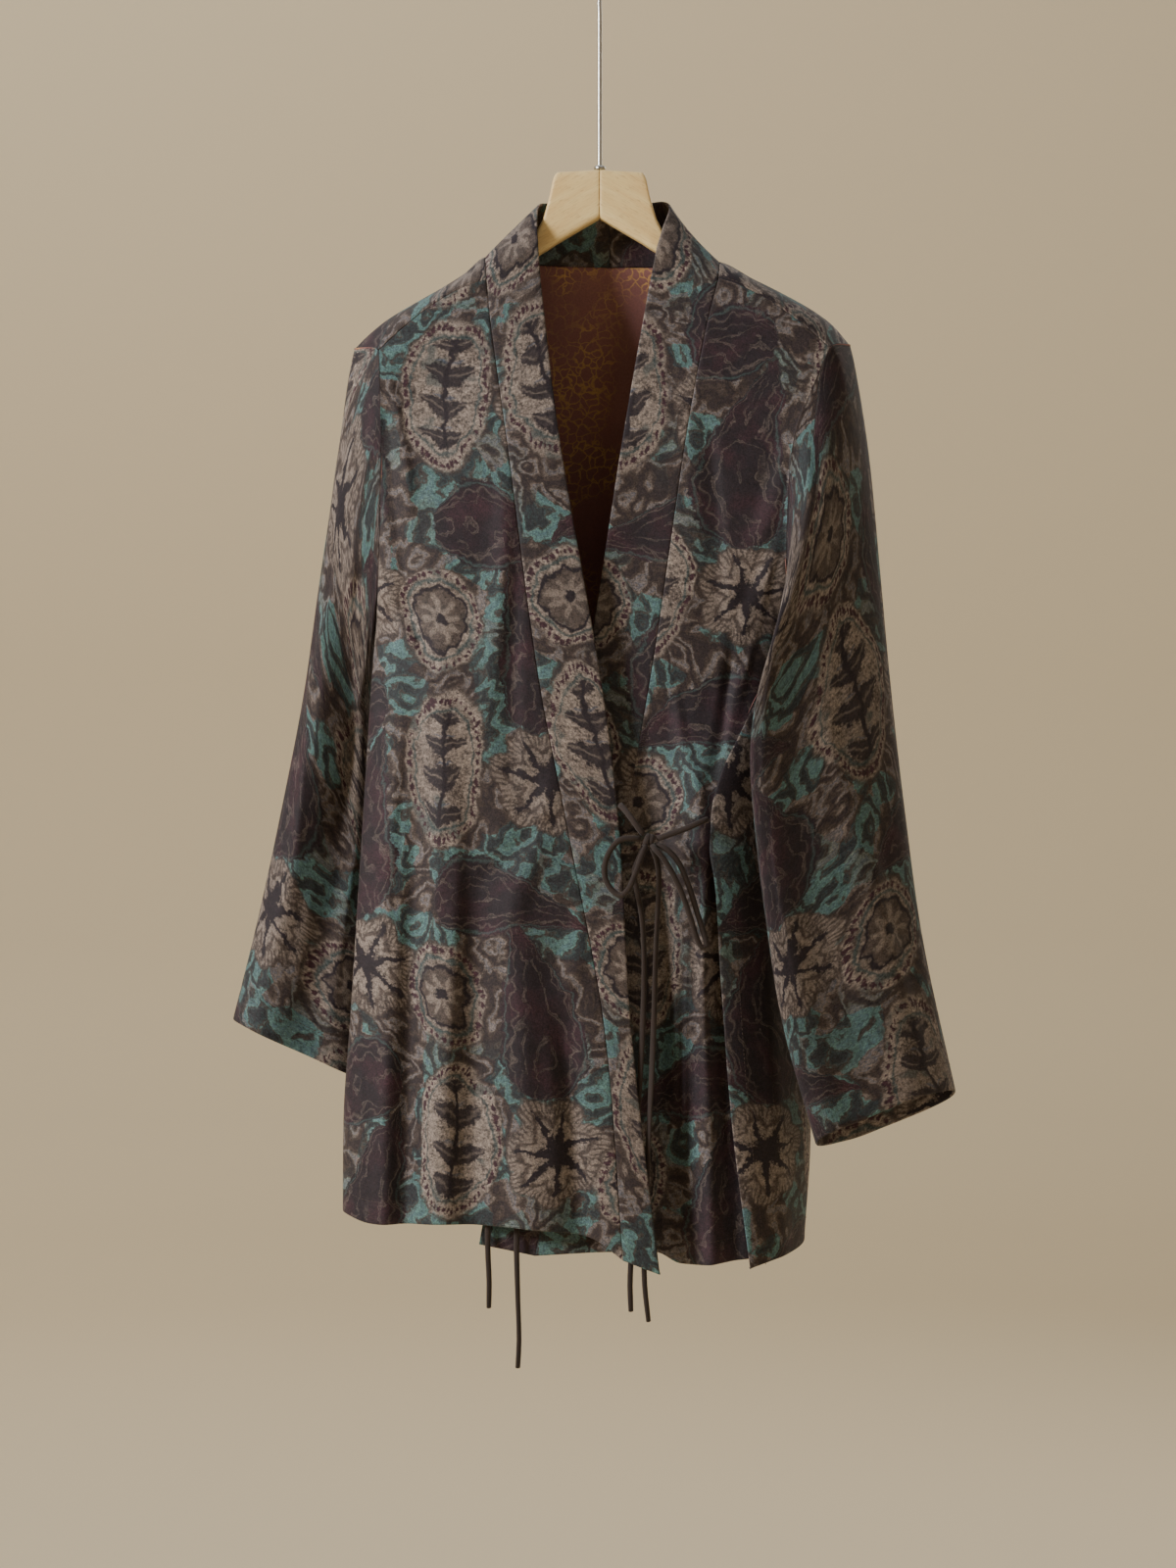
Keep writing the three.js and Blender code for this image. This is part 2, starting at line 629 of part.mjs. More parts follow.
// From the ridge over the front of the shoulder to the forward seam. It takes the back's own ridge points.
function shoulderStrip(side, ridge) {
  const grid = [];
  const steps = 3;
  const rows = NECK[side].map((row, order) => ({ ...row, order }));
  const inward = side === "left" ? -1 : 1;
  for (let r = 0; r <= steps; r += 1) {
    const turn = ((r / steps) * Math.PI) / 2;
    const neck = (column) => read(rows, "order", column, 3 + (2 * r) / steps);
    grid.push(
      ridge.map((top, c) => {
        if (r === 0) return top;
        const share = c / (ridge.length - 1);
        const seam = forwardSeam[side](1 - share);
        const x = mix(top.x, seam.x, Math.sin(turn));
        const y = mix(top.y, seam.y, Math.sin(turn));
        const drop = mix(-top.z, -seam.z - TURNED_SEAM, 1 - Math.cos(turn));
        const near = share ** 6;
        return point(
          mix(x, neck("seamX") + inward * TURNED_SEAM, near),
          mix(y, neck("seamY"), near),
          mix(drop, neck("seamDrop") - (TURNED_SEAM * r) / steps, near),
        );
      }),
    );
  }
  return side === "left" ? grid : grid.map((row) => row.toReversed());
}

// From the turn at the right, forward to the side seam. It takes the back's own edge points.
function rightWrap(main) {
  const grid = [];
  const underarm = SIDE.right[0].drop;
  for (const line of main) {
    const turn = line[line.length - 1];
    if (-turn.z < underarm) continue;
    const share = (-turn.z - underarm) / (HEM.back[3].drop - underarm);
    const seamDrop = mix(underarm, SIDE.right[SIDE.right.length - 1].drop, share);
    const seam = frontSide("right", seamDrop);
    const slit = ease(seamDrop, SLIT_TOP, SLIT_TOP + 30);
    const row = [];
    for (let c = 0; c <= DIVISIONS.wrap; c += 1) {
      const angle = ((c / DIVISIONS.wrap) * Math.PI) / 2;
      const forward = Math.sin(angle) ** 1.5;
      const inward = 1 - Math.cos(angle) ** 1.35;
      const drop = mix(-turn.z, -seam.z, c / DIVISIONS.wrap);
      const x = mix(turn.x, mix(seam.x + 2 * TURNED_SEAM, seam.x - SLIT_LAP, slit), inward);
      const y = mix(turn.y, seam.y - SLIT_LIFT * slit, forward);
      row.push(c === 0 ? turn : point(x, y, drop));
    }
    grid.push(row.reverse());
  }
  return grid;
}

// One half of the collar band, from the centre of the back round the neck and down to the hem.
function bandGrid(side) {
  const stations = [];
  const rows = NECK[side].map((row, order) => ({ ...row, order }));
  for (let order = 0; order < rows.length - 1; order += 0.5) {
    const at = (column) => read(rows, "order", column, order);
    stations.push([
      point(at("seamX"), at("seamY"), at("seamDrop")),
      point(at("edgeX"), at("edgeY"), at("edgeDrop")),
    ]);
  }
  for (let r = 0; r <= DIVISIONS.frontDown; r += 1) {
    const down = (r / DIVISIONS.frontDown) ** 1.15;
    stations.push([lapelPoint(side, "seam", down), lapelPoint(side, "edge", down)]);
  }
  const grid = stations.map(([seam, edge], station) => {
    const row = [];
    for (let c = 0; c <= DIVISIONS.band; c += 1) row.push(seam.clone().lerp(edge, c / DIVISIONS.band));
    row[0].lerp(edge, (SEAM * 1.2) / seam.distanceTo(edge));
    if (station === 0) row.forEach((p) => (p.x += side === "left" ? -SEAM : SEAM));
    return row;
  });
  return side === "left" ? grid : grid.map((row) => row.reverse());
}

// The closed line of an armhole, taken from the edges of the pieces round it:
// from the ridge down the front to the underarm and up the back.
function armholeLine(side, back, front, strip) {
  const pick = (row) => (side === "left" ? row[0] : row[row.length - 1]);
  const underarm = ARMHOLE[side][ARMHOLE[side].length - 1].drop;
  const line = [];
  for (const row of strip) line.push(pick(row));
  for (const row of front) if (-pick(row).z < underarm - 8) line.push(pick(row));
  line.push(frontSide(side, underarm));
  const behind = back.map((row) => (side === "left" ? row[row.length - 1] : row[0]));
  for (const p of behind.reverse()) if (-p.z < underarm - 8) line.push(p);
  return line;
}

// How far round a closed line each of its points lies, from 0 to 1.
function sharesAlong(line) {
  const lengths = [0];
  line.forEach((p, i) => lengths.push(lengths[i] + p.distanceTo(line[(i + 1) % line.length])));
  return lengths.slice(0, -1).map((length) => length / lengths[line.length]);
}

// A sleeve: round sections from the armhole line to the cuff. Turn 0 is the outer edge, 90 the front.
function sleeveGrid(side, line) {
  const out = side === "left" ? -1 : 1;
  const rings = [];
  const rows = SLEEVE[side];
  const shares = sharesAlong(line);
  for (let r = 0; r <= DIVISIONS.sleeve; r += 1) {
    const down = (r / DIVISIONS.sleeve) ** 1.25;
    const at = (column) => read(rows, "down", column, down);
    const outer = point(at("outX"), at("outY"), at("outDrop"));
    const inner = point(at("inX"), at("inY"), at("inDrop"));
    const centre = outer.clone().lerp(inner, 0.5);
    const half = outer.clone().sub(centre);
    const deep = new THREE.Vector3(-out * at("skew"), -at("deep"), at("lean"));
    const ring = [];
    for (let c = 0; c < line.length; c += 1) {
      const angle = shares[c] * 2 * Math.PI;
      const lobe = (value) => Math.sign(value) * Math.abs(value) ** SLEEVE_BLUNT;
      const fold = sleeveFold(SLEEVE_FOLDS[side], (angle * 180) / Math.PI, down);
      const shape = centre.clone();
      shape.addScaledVector(half, lobe(Math.cos(angle)));
      shape.addScaledVector(deep, lobe(Math.sin(angle)) * (1 + fold / at("deep")));
      const sewn = line[c].clone();
      sewn.x += out * (ARMHOLE_SEAM + 6 * down);
      ring.push(sewn.lerp(shape, ease(down, 0, SLEEVE_SETTLED)));
    }
    ring.push(ring[0]);
    rings.push(side === "left" ? ring : ring.reverse());
  }
  return rings;
}

function sleeveFold(folds, turn, down) {
  let height = 0;
  for (const fold of folds) {
    const centre = mix(fold.topTurn, fold.cuffTurn, down);
    const grown = ease(down, fold.from, fold.from + SLEEVE_FOLD_GROWS);
    height += fold.depth * grown * Math.exp(-(((turn - centre) / fold.width) ** 2));
  }
  return height;
}

// ---------------------------------------------------------------- hanger, rod and ties

// One half of the hanger, lofted out along its arm from the mitre in the middle.
function hangerHalf(side) {
  const away = side === "left" ? -1 : 1;
  const rows = [...HANGER];
  for (const row of HANGER_ARM) {
    const top = read(RIDGE, "x", "drop", away * row.out) + row.under;
    rows.push({ ...row, top, bottom: top + row.height });
  }
  const around = 16;
  const points = [];
  const faces = [];
  rows.forEach((row, r) => {
    for (let i = 0; i < around; i += 1) {
      const angle = ((i + 0.5) / around) * 2 * Math.PI;
      const lobe = (value) => Math.sign(value) * Math.abs(value) ** row.blunt;
      const y = (row.thick / 2) * lobe(Math.cos(angle));
      const drop = (row.top + row.bottom) / 2 - ((row.bottom - row.top) / 2) * lobe(Math.sin(angle));
      points.push(point(away * (row.out + (r === 0 ? SEAM / 2 : 0)), y, drop));
    }
  });
  for (let r = 0; r + 1 < rows.length; r += 1) {
    for (let i = 0; i < around; i += 1) {
      const j = (i + 1) % around;
      const [a, b, c, d] = [r * around + i, r * around + j, (r + 1) * around + i, (r + 1) * around + j];
      faces.push([a, b, d], [a, d, c]);
    }
  }
  const last = (rows.length - 1) * around;
  for (let i = 1; i + 1 < around; i += 1) {
    faces.push([0, i + 1, i], [last, last + i, last + i + 1]);
  }
  return geometryOf(points, away > 0 ? faces : faces.map((face) => face.reverse()));
}

// A round bar or tie along points.
function barAlong(points, thickness, steps, sides) {
  const curve = new THREE.CatmullRomCurve3(points, false, "centripetal");
  const round = Array.from({ length: sides }, (_, i) => {
    const angle = (i / sides) * 2 * Math.PI;
    return new THREE.Vector2((Math.cos(angle) * thickness) / 2, (Math.sin(angle) * thickness) / 2);
  });
  const shape = new THREE.Shape(round);
  return new THREE.ExtrudeGeometry(shape, { steps, extrudePath: curve, bevelEnabled: false });
}

// The rod and its hook: up the middle, round to the right, over the top and down on the left.
function hookPoints() {
  const radius = HOOK_RADIUS + ROD / 2;
  const bottom = HANGER[0].top + ROD_SOCKET - SEAM;
  const points = [bottom, ...[...ROD_STEM].reverse()].map((drop) => point(0, 0, drop));
  points.push(point(HOOK_BEND.x, 0, HOOK_BEND.drop));
  for (let i = 0; i <= HOOK_TURN.steps; i += 1) {
    const angle = (mix(HOOK_TURN.from, HOOK_TURN.to, i / HOOK_TURN.steps) * Math.PI) / 180;
    points.push(point(radius * Math.cos(angle), 0, HOOK_RADIUS - radius * Math.sin(angle)));
  }
  return points;
}

const wasm = await Module();
wasm.setup();

function toSolid(geometry) {
  const bare = geometry.clone();
  bare.deleteAttribute("normal");
  bare.deleteAttribute("uv");
  const merged = mergeVertices(bare, 1e-4);
  const mesh = new wasm.Mesh({
    numProp: 3,
    vertProperties: new Float32Array(merged.attributes.position.array),
    triVerts: new Uint32Array(merged.index.array),
  });
  return new wasm.Manifold(mesh);
}

function fromSolid(solid) {
  const mesh = solid.getMesh();
  const geometry = new THREE.BufferGeometry();
  geometry.setAttribute("position", new THREE.Float32BufferAttribute(mesh.vertProperties, 3));
  geometry.setIndex(new THREE.Uint32BufferAttribute(mesh.triVerts, 1));
  geometry.computeVertexNormals();
  return geometry;
}

// The hanger half with its side of the hole that the rod is screwed into.
function drilledHanger(side) {
  const drill = new THREE.CylinderGeometry(ROD / 2 + SEAM, ROD / 2 + SEAM, ROD_SOCKET * 2, 12);
  drill.rotateX(Math.PI / 2);
  drill.translate(0, 0, -HANGER[0].top);
  return fromSolid(toSolid(hangerHalf(side)).subtract(toSolid(drill)));
}

// The ring round the rod, on the wood.
function ferrule() {
  const inner = ROD / 2 + SEAM;
  const profile = [
    new THREE.Vector2(inner, 0),
    new THREE.Vector2(FERRULE.radius, 0),
    new THREE.Vector2(FERRULE.radius, FERRULE.height - FERRULE.bevel),
    new THREE.Vector2(FERRULE.radius - FERRULE.bevel, FERRULE.height),
    new THREE.Vector2(inner, FERRULE.height),
    new THREE.Vector2(inner, 0),
  ];
  const geometry = new THREE.LatheGeometry(profile, 16);
  geometry.rotateX(Math.PI / 2);
  geometry.translate(0, 0, SEAM - HANGER[0].top);
  return geometry;
}

function knot() {
  const geometry = new THREE.SphereGeometry(1, 12, 8);
  geometry.scale(KNOT.wide / 2, KNOT.thick / 2, KNOT.high / 2);
  geometry.translate(KNOT.x, KNOT.y, -KNOT.drop);
  return geometry;
}

// ---------------------------------------------------------------- materials and the whole object

const silk = new THREE.MeshStandardMaterial({ color: 0x5c4d45, roughness: 0.72, metalness: 0 });
const tieCloth = new THREE.MeshStandardMaterial({ color: 0x2b1f1b, roughness: 0.8, metalness: 0 });
const wood = new THREE.MeshStandardMaterial({ color: 0xd9bf93, roughness: 0.55, metalness: 0 });
const steel = new THREE.MeshStandardMaterial({ color: 0xb4b4b2, roughness: 0.3, metalness: 1 });

const jacket = new THREE.Group();
const hanger = new THREE.Group();

function add(group, name, geometry, material) {
  const mesh = new THREE.Mesh(geometry, material);
  mesh.name = name;
  group.add(mesh);
}

const fronts = { left: frontGrid("left"), right: frontGrid("right") };
const back = backGrids();
const strips = { left: back[1], right: back[2] };
add(jacket, "front_left", clothWall([fronts.left], CLOTH), silk);
add(jacket, "front_right", clothWall([fronts.right], CLOTH), silk);
add(jacket, "back", clothWall(back, CLOTH), silk);
for (const side of ["left", "right"]) {
  const line = armholeLine(side, back[0], fronts[side], strips[side]);
  add(jacket, `sleeve_${side}`, clothWall([sleeveGrid(side, line)], CLOTH), silk);
  add(jacket, `collar_band_${side}`, clothWall([bandGrid(side)], BAND_CLOTH), silk);
}
add(jacket, "bow_knot", knot(), tieCloth);
for (const [name, route] of Object.entries(TIES)) {
  const points = route.map(([x, y, drop]) => point(x, y, drop));
  const length = new THREE.CatmullRomCurve3(points, false, "centripetal").getLength();
  const steps = Math.ceil(length / (name.includes("loop") ? 6 : 11));
  add(jacket, name, barAlong(points, TIE, steps, 8), tieCloth);
}

add(hanger, "hanger_left", drilledHanger("left"), wood);
add(hanger, "hanger_right", drilledHanger("right"), wood);
add(hanger, "hanger_ferrule", ferrule(), steel);
add(hanger, "hanger_rod", barAlong(hookPoints(), ROD, 64, 8), steel);

const whole = new THREE.Group();
whole.add(jacket, hanger);
whole.updateMatrixWorld(true);

export default whole;
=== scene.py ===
"""The looks of a silk wrap jacket on a wooden hanger, built round its fixed frame.

Blender works in metres. The tables are in millimetres: x to the viewer's right, y away from the
viewer, and "drop" straight down from the inside top of the hook. Left and right are the viewer's.
"""

import math

import bmesh
import bpy
import numpy as np
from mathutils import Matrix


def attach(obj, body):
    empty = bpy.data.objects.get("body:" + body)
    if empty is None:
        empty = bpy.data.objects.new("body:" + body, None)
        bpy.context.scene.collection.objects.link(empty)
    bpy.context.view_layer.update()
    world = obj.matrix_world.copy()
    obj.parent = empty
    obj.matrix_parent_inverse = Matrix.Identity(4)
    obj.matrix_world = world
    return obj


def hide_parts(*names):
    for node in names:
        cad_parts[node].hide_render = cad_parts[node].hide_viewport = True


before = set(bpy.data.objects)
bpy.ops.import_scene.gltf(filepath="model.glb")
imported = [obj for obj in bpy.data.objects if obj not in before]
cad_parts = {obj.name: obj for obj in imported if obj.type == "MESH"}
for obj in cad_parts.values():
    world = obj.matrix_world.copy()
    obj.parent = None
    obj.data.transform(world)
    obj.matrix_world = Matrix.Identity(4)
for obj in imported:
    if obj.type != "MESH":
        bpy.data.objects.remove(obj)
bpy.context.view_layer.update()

MM = 0.001

# ---------------------------------------------------------------- camera
# It stands straight in front of the jacket, level with its middle, and looks through a long lens.

camera_distance = 3.2
view_height = 1.2405
aimed_at = (-0.0094, -0.03, -0.6731)
sensor = 36
camera_data = bpy.data.cameras.new("camera")
camera_data.sensor_fit = "VERTICAL"
camera_data.sensor_height = sensor
camera_data.lens = sensor * camera_distance / view_height
camera = bpy.data.objects.new("camera", camera_data)
camera.location = (aimed_at[0], aimed_at[1] - camera_distance, aimed_at[2])
camera.rotation_euler = (math.pi / 2, 0, 0)
bpy.context.collection.objects.link(camera)
bpy.context.scene.camera = camera

# ---------------------------------------------------------------- ties
# Narrow tubes of dark brown cloth, sewn along one side and turned, so they lie a little flat.
# One is sewn to the left front's collar band, one to the right side seam, and they are tied in a
# bow. Two more, of the inner pair, hang free between the fronts.

TIE_WIDE = 4.6
TIE_THICK = 2.9
TIE_WEAVE = 0.0007


class Wire:
    """A shader node's output. A sum written on it becomes Math nodes in its tree."""

    def __init__(self, socket):
        self.socket = socket

    def of(self, operation, *values):
        node = self.socket.id_data.nodes.new("ShaderNodeMath")
        node.operation = operation
        for entry, value in zip(node.inputs, (self, *values)):
            plug(value, entry)
        return Wire(node.outputs[0])

    def under(self, operation, value):
        node = self.socket.id_data.nodes.new("ShaderNodeMath")
        node.operation = operation
        plug(value, node.inputs[0])
        plug(self, node.inputs[1])
        return Wire(node.outputs[0])

    def __add__(self, value):
        return self.of("ADD", value)

    def __radd__(self, value):
        return self.under("ADD", value)

    def __sub__(self, value):
        return self.of("SUBTRACT", value)

    def __rsub__(self, value):
        return self.under("SUBTRACT", value)

    def __mul__(self, value):
        return self.of("MULTIPLY", value)

    def __rmul__(self, value):
        return self.under("MULTIPLY", value)

    def __truediv__(self, value):
        return self.of("DIVIDE", value)

    def __pow__(self, value):
        return self.of("POWER", value)

    def __abs__(self):
        return self.of("ABSOLUTE")

    def kept(self):
        """The value held between 0 and 1."""
        clamped = self.of("ADD", 0)
        clamped.socket.node.use_clamp = True
        return clamped


def plug(value, entry):
    if isinstance(value, Wire):
        entry.id_data.links.new(value.socket, entry)
    else:
        entry.default_value = value


class Finish:
    """A finish being made: a material with its tree and its main shader."""

    def __init__(self, name):
        self.material = bpy.data.materials.new(name)
        self.material.use_nodes = True
        self.tree = self.material.node_tree
        self.shader = self.tree.nodes["Principled BSDF"]

    def node(self, kind, settings=None, inputs=None, output=0):
        """A node of that type, with its settings, its sockets' values or links, and one output."""
        node = self.tree.nodes.new(kind)
        for name, setting in (settings or {}).items():
            setattr(node, name, setting)
        for name, value in (inputs or {}).items():
            plug(value, node.inputs[name])
        return Wire(node.outputs[output])

    def mixed(self, first, second, share, blend="MIX"):
        """Two colours mixed by a share from 0 to 1."""
        a, b = [value if isinstance(value, Wire) else (*value, 1) for value in (first, second)]
        settings = {"data_type": "RGBA", "blend_type": blend}
        return self.node("ShaderNodeMix", settings, {0: share, 6: a, 7: b}, 2)

    def painted(self, skin, *coats):
        """A skin with coats laid over it, each a colour and its share from 0 to 1."""
        for tint, share in coats:
            skin = self.mixed(skin, tint, share)
        return skin

    def shaded(self, skin, light):
        """A colour made lighter or darker by a plain number."""
        grey = self.node("ShaderNodeCombineColor", {}, {0: light, 1: light, 2: light})
        return self.mixed(skin, grey, 1.0, "MULTIPLY")

    def parts(self, place):
        """A place's x, y and z."""
        split = self.node("ShaderNodeSeparateXYZ", {}, {"Vector": place})
        return [Wire(socket) for socket in split.socket.node.outputs]

    def noise(self, place, scale, detail=3, rough=0.5, distortion=0):
        inputs = {
            "Vector": place,
            "Scale": scale,
            "Detail": detail,
            "Roughness": rough,
            "Distortion": distortion,
        }
        return self.node("ShaderNodeTexNoise", {}, inputs)

    def bump(self, height, distance, strength=1.0, under=None):
        inputs = {"Height": height, "Distance": distance, "Strength": strength}
        if under is not None:
            inputs["Normal"] = under
        return self.node("ShaderNodeBump", {}, inputs)

    def gives(self, **sockets):
        """Sets or links the main shader's sockets."""
        for name, value in sockets.items():
            plug(value, self.shader.inputs[name.replace("_", " ")])


def colour(text):
    """A colour from its six digits, made linear."""
    parts = [int(text[i : i + 2], 16) / 255 for i in (0, 2, 4)]
    return tuple(p / 12.92 if p <= 0.04045 else ((p + 0.055) / 1.055) ** 2.4 for p in parts)


tie_cloth = Finish("dark brown tie cloth")
tie_place = tie_cloth.node("ShaderNodeUVMap", {"uv_map": "cloth"})
tie_mottle = tie_cloth.noise(tie_place, 60, 3)
tie_tint = tie_cloth.mixed(colour("1f1511"), colour("3b2a22"), tie_mottle)
tie_across, tie_along, _ = tie_cloth.parts(tie_place)
tie_weft = (tie_along * (2 * math.pi / TIE_WEAVE)).of("SINE")
tie_warp = (tie_across * (2 * math.pi / TIE_WEAVE)).of("SINE")
tie_weave = tie_weft * tie_warp
tie_bump = tie_cloth.bump(tie_weave * 0.5 + tie_mottle, 0.0004, 0.5)
tie_cloth.gives(Base_Color=tie_tint, Roughness=0.62 + 0.2 * tie_mottle, Normal=tie_bump)
tie_cloth.gives(Sheen_Weight=0.15)

# Where each tie runs: x, y, drop.
TIES = {
    "tie_left": [
        (15.5, -67, 689), (20, -72, 694), (26, -76, 702), (31, -76, 709), (34.1, -74.7, 712.5),
    ],
    "tie_right": [
        (84.5, -66.5, 700.5), (77, -70, 703.5), (68, -72, 707.5), (57, -73, 711.5),
        (48, -73.5, 714.6), (44.5, -73.3, 715.5),
    ],
    "bow_loop_left": [
        (31.4, -75.5, 716.2), (25, -78, 715.5), (16, -79.5, 716.5), (8.5, -79.5, 724),
        (4, -79, 735), (4, -78.5, 746), (9, -78.5, 755.5), (16, -79, 760), (22, -80, 755),
        (27, -81, 744), (31, -80.5, 733), (34, -78, 725), (36, -76.8, 721.4),
    ],
    "bow_loop_right": [
        (43.9, -74.1, 719.9), (52, -75.5, 724), (61, -74, 734), (69, -72, 752), (76, -70, 774),
        (82, -69, 793), (83.5, -69, 799), (80.5, -69.5, 801.5), (76.5, -71, 796),
        (71, -73, 779), (64, -75.5, 759), (56, -78, 742), (48.5, -80, 730), (42.5, -80, 723.5),
        (40.5, -77, 720.8),
    ],
    "bow_tail_left": [
        (34.1, -71.3, 721.9), (31, -70.5, 730), (26.5, -69.5, 742), (29, -67, 757),
        (32.5, -64.5, 775), (34.5, -61, 805), (34, -59, 850), (31.5, -59.5, 900),
        (28.5, -60, 950), (26, -61, 1000), (24.5, -61.5, 1040), (23.5, -62, 1065),
        (24.2, -62, 1086),
    ],
    "bow_tail_right": [
        (40.2, -71.9, 722.2), (44, -70, 731), (46, -68.5, 745), (45, -66.5, 775),
        (43.5, -63.5, 810), (42.5, -61, 850), (40.5, -60.5, 900), (38, -61, 950),
        (36, -61.5, 1000), (34.5, -62, 1040), (35, -62.5, 1066), (38, -62, 1094),
    ],
    "inner_tie_left": [
        (-39, -47, 716), (-46, -48.6, 722), (-56, -49.5, 738), (-66, -50, 770),
        (-75, -50.5, 820), (-82, -51.5, 880), (-86, -52.5, 940), (-88, -54, 1000),
        (-88, -55.5, 1040), (-87, -56, 1062), (-87.2, -56, 1084),
    ],
    "inner_tie_right": [
        (-34, -47, 726), (-38, -48.8, 734), (-44, -50, 752), (-51, -51.5, 790),
        (-57, -52.5, 850), (-61, -53.5, 920), (-64, -54.5, 980), (-65.5, -56, 1030),
        (-64.5, -56.5, 1075), (-63.5, -56.5, 1110), (-64.5, -56.5, 1131),
    ],
}


def so_far(line):
    """How far along a line each of its points lies."""
    return np.concatenate([[0], np.cumsum(np.linalg.norm(np.diff(line, axis=0), axis=1))])


def smooth_line(points, count):
    """A smooth line through chosen points, as evenly spaced points in millimetres."""
    knots = np.array([(x, y, -drop) for x, y, drop in points], float)
    knots = np.vstack([2 * knots[0] - knots[1], knots, 2 * knots[-1] - knots[-2]])
    fine = []
    for a, b, c, d in zip(knots[:-3], knots[1:-2], knots[2:-1], knots[3:]):
        t1 = math.sqrt(np.linalg.norm(b - a))
        t2 = t1 + math.sqrt(np.linalg.norm(c - b))
        t3 = t2 + math.sqrt(np.linalg.norm(d - c))
        t = np.linspace(t1, t2, 24, endpoint=False)[:, None]
        first = a * (t1 - t) / t1 + b * t / t1
        second = b * (t2 - t) / (t2 - t1) + c * (t - t1) / (t2 - t1)
        third = c * (t3 - t) / (t3 - t2) + d * (t - t2) / (t3 - t2)
        early = first * (t2 - t) / t2 + second * t / t2
        late = second * (t3 - t) / (t3 - t1) + third * (t - t1) / (t3 - t1)
        fine.append(early * (t2 - t) / (t2 - t1) + late * (t - t1) / (t2 - t1))
    fine = np.vstack([*fine, knots[-2]])
    along = so_far(fine)
    even = np.linspace(0, along[-1], count)
    return np.column_stack([np.interp(even, along, fine[:, i]) for i in range(3)]), along[-1]


def unit(vectors):
    return vectors / np.maximum(np.linalg.norm(vectors, axis=-1, keepdims=True), 1e-9)


def faced_out(mesh):
    """Turns the faces of a closed mesh outward."""
    shell = bmesh.new()
    shell.from_mesh(mesh)
    bmesh.ops.recalc_face_normals(shell, faces=shell.faces)
    shell.to_mesh(mesh)
    shell.free()
    mesh.shade_smooth()


BAR_ENDS = [0.35, 0.7, 0.92]
BAR_TUCK = 0.32
TWIST_RATE = 0.021


def bar_mesh(name, line, wide, thick, facing, twist=0.0, sides=14, closed=False):
    """A bar of oval section along a line in millimetres, its broad side towards "facing"."""
    ahead = np.roll(line, -1, axis=0) - np.roll(line, 1, axis=0)
    if not closed:
        ahead = np.gradient(line, axis=0)
    ahead = unit(ahead)
    across = unit(np.cross(ahead, np.asarray(facing, float)))
    out = np.cross(across, ahead)
    length = so_far(line)
    centres, shrink, order = line, np.ones(len(line)), np.arange(len(line))
    if not closed:
        ends = BAR_ENDS
        tuck = thick * BAR_TUCK
        start = [line[0] - ahead[0] * tuck * (1 - e) for e in ends]
        finish = [line[-1] + ahead[-1] * tuck * (1 - e) for e in reversed(ends)]
        centres = np.vstack([start, line[1:-1], finish])
        shrink = np.concatenate([ends, np.ones(len(line) - 2), ends[::-1]])
        order = np.concatenate([[0, 0, 0], np.arange(1, len(line) - 1), [len(line) - 1] * 3])
    turn = np.arange(sides) / sides * 2 * math.pi
    lean = (twist * np.sin(length[order] * TWIST_RATE))[:, None, None]
    wide_way = across[order][:, None] * np.cos(lean) + out[order][:, None] * np.sin(lean)
    thin_way = out[order][:, None] * np.cos(lean) - across[order][:, None] * np.sin(lean)
    rings = (
        centres[:, None]
        + wide_way * (np.cos(turn) * wide / 2)[None, :, None] * shrink[:, None, None]
        + thin_way * (np.sin(turn) * thick / 2)[None, :, None] * shrink[:, None, None]
    )
    count = len(rings)
    faces = []
    lays = []
    for r in range(count if closed else count - 1):
        for s in range(sides):
            n, t = (r + 1) % count, (s + 1) % sides
            faces.append((r * sides + s, n * sides + s, n * sides + t, r * sides + t))
            lays.append(((s, r), (s, r + 1), (s + 1, r + 1), (s + 1, r)))
    if not closed:
        faces.append(tuple(range(sides)))
        lays.append(tuple((s, 0) for s in range(sides)))
        faces.append(tuple((count - 1) * sides + s for s in reversed(range(sides))))
        lays.append(tuple((s, count - 1) for s in reversed(range(sides))))
    mesh = bpy.data.meshes.new(name)
    mesh.from_pydata((rings.reshape(-1, 3) * MM).tolist(), [], faces)
    girth = math.pi * (wide + thick) / 2
    laid = mesh.uv_layers.new(name="cloth")
    spots = np.array([spot for lay in lays for spot in lay], float)
    step = length[-1] / max(len(line) - 1, 1)
    spots *= (girth / sides * MM, step * MM)
    laid.data.foreach_set("uv", spots.ravel())
    faced_out(mesh)
    return mesh


def placed(name, mesh, *finishes):
    """An object of that mesh with those finishes."""
    piece = bpy.data.objects.new(name, mesh)
    for finish in finishes:
        mesh.materials.append(finish.material)
    bpy.context.collection.objects.link(piece)
    return piece


# The knot: one tie drawn tightly round both, twice, a little askew.
KNOT = (38, -73, 717)
KNOT_WIDE = 4.4
KNOT_THICK = 2.2
knot_lines = []
for shift, high, deep, tilt in ((-1.6, 4.4, 3.9, 0.35), (1.9, 3.9, 3.3, 0.12)):
    turns = np.linspace(0, 2 * math.pi, 29)[:-1]
    side = shift + tilt * high * np.cos(turns)
    knot_lines.append(
        np.column_stack(
            [KNOT[0] + side, KNOT[1] - deep * np.sin(turns), -KNOT[2] + high * np.cos(turns)]
        )
    )
knot_shell = bmesh.new()
for order, knot_line in enumerate(knot_lines):
    wrap = bar_mesh(f"wrap {order}", knot_line, KNOT_WIDE, KNOT_THICK, (0, -1, 0), closed=True)
    knot_shell.from_mesh(wrap)
knot_mesh = bpy.data.meshes.new("bow_knot")
knot_shell.to_mesh(knot_mesh)
knot_shell.free()
knot_mesh.shade_smooth()
knot_piece = placed("cloth_bow_knot", knot_mesh, tie_cloth)
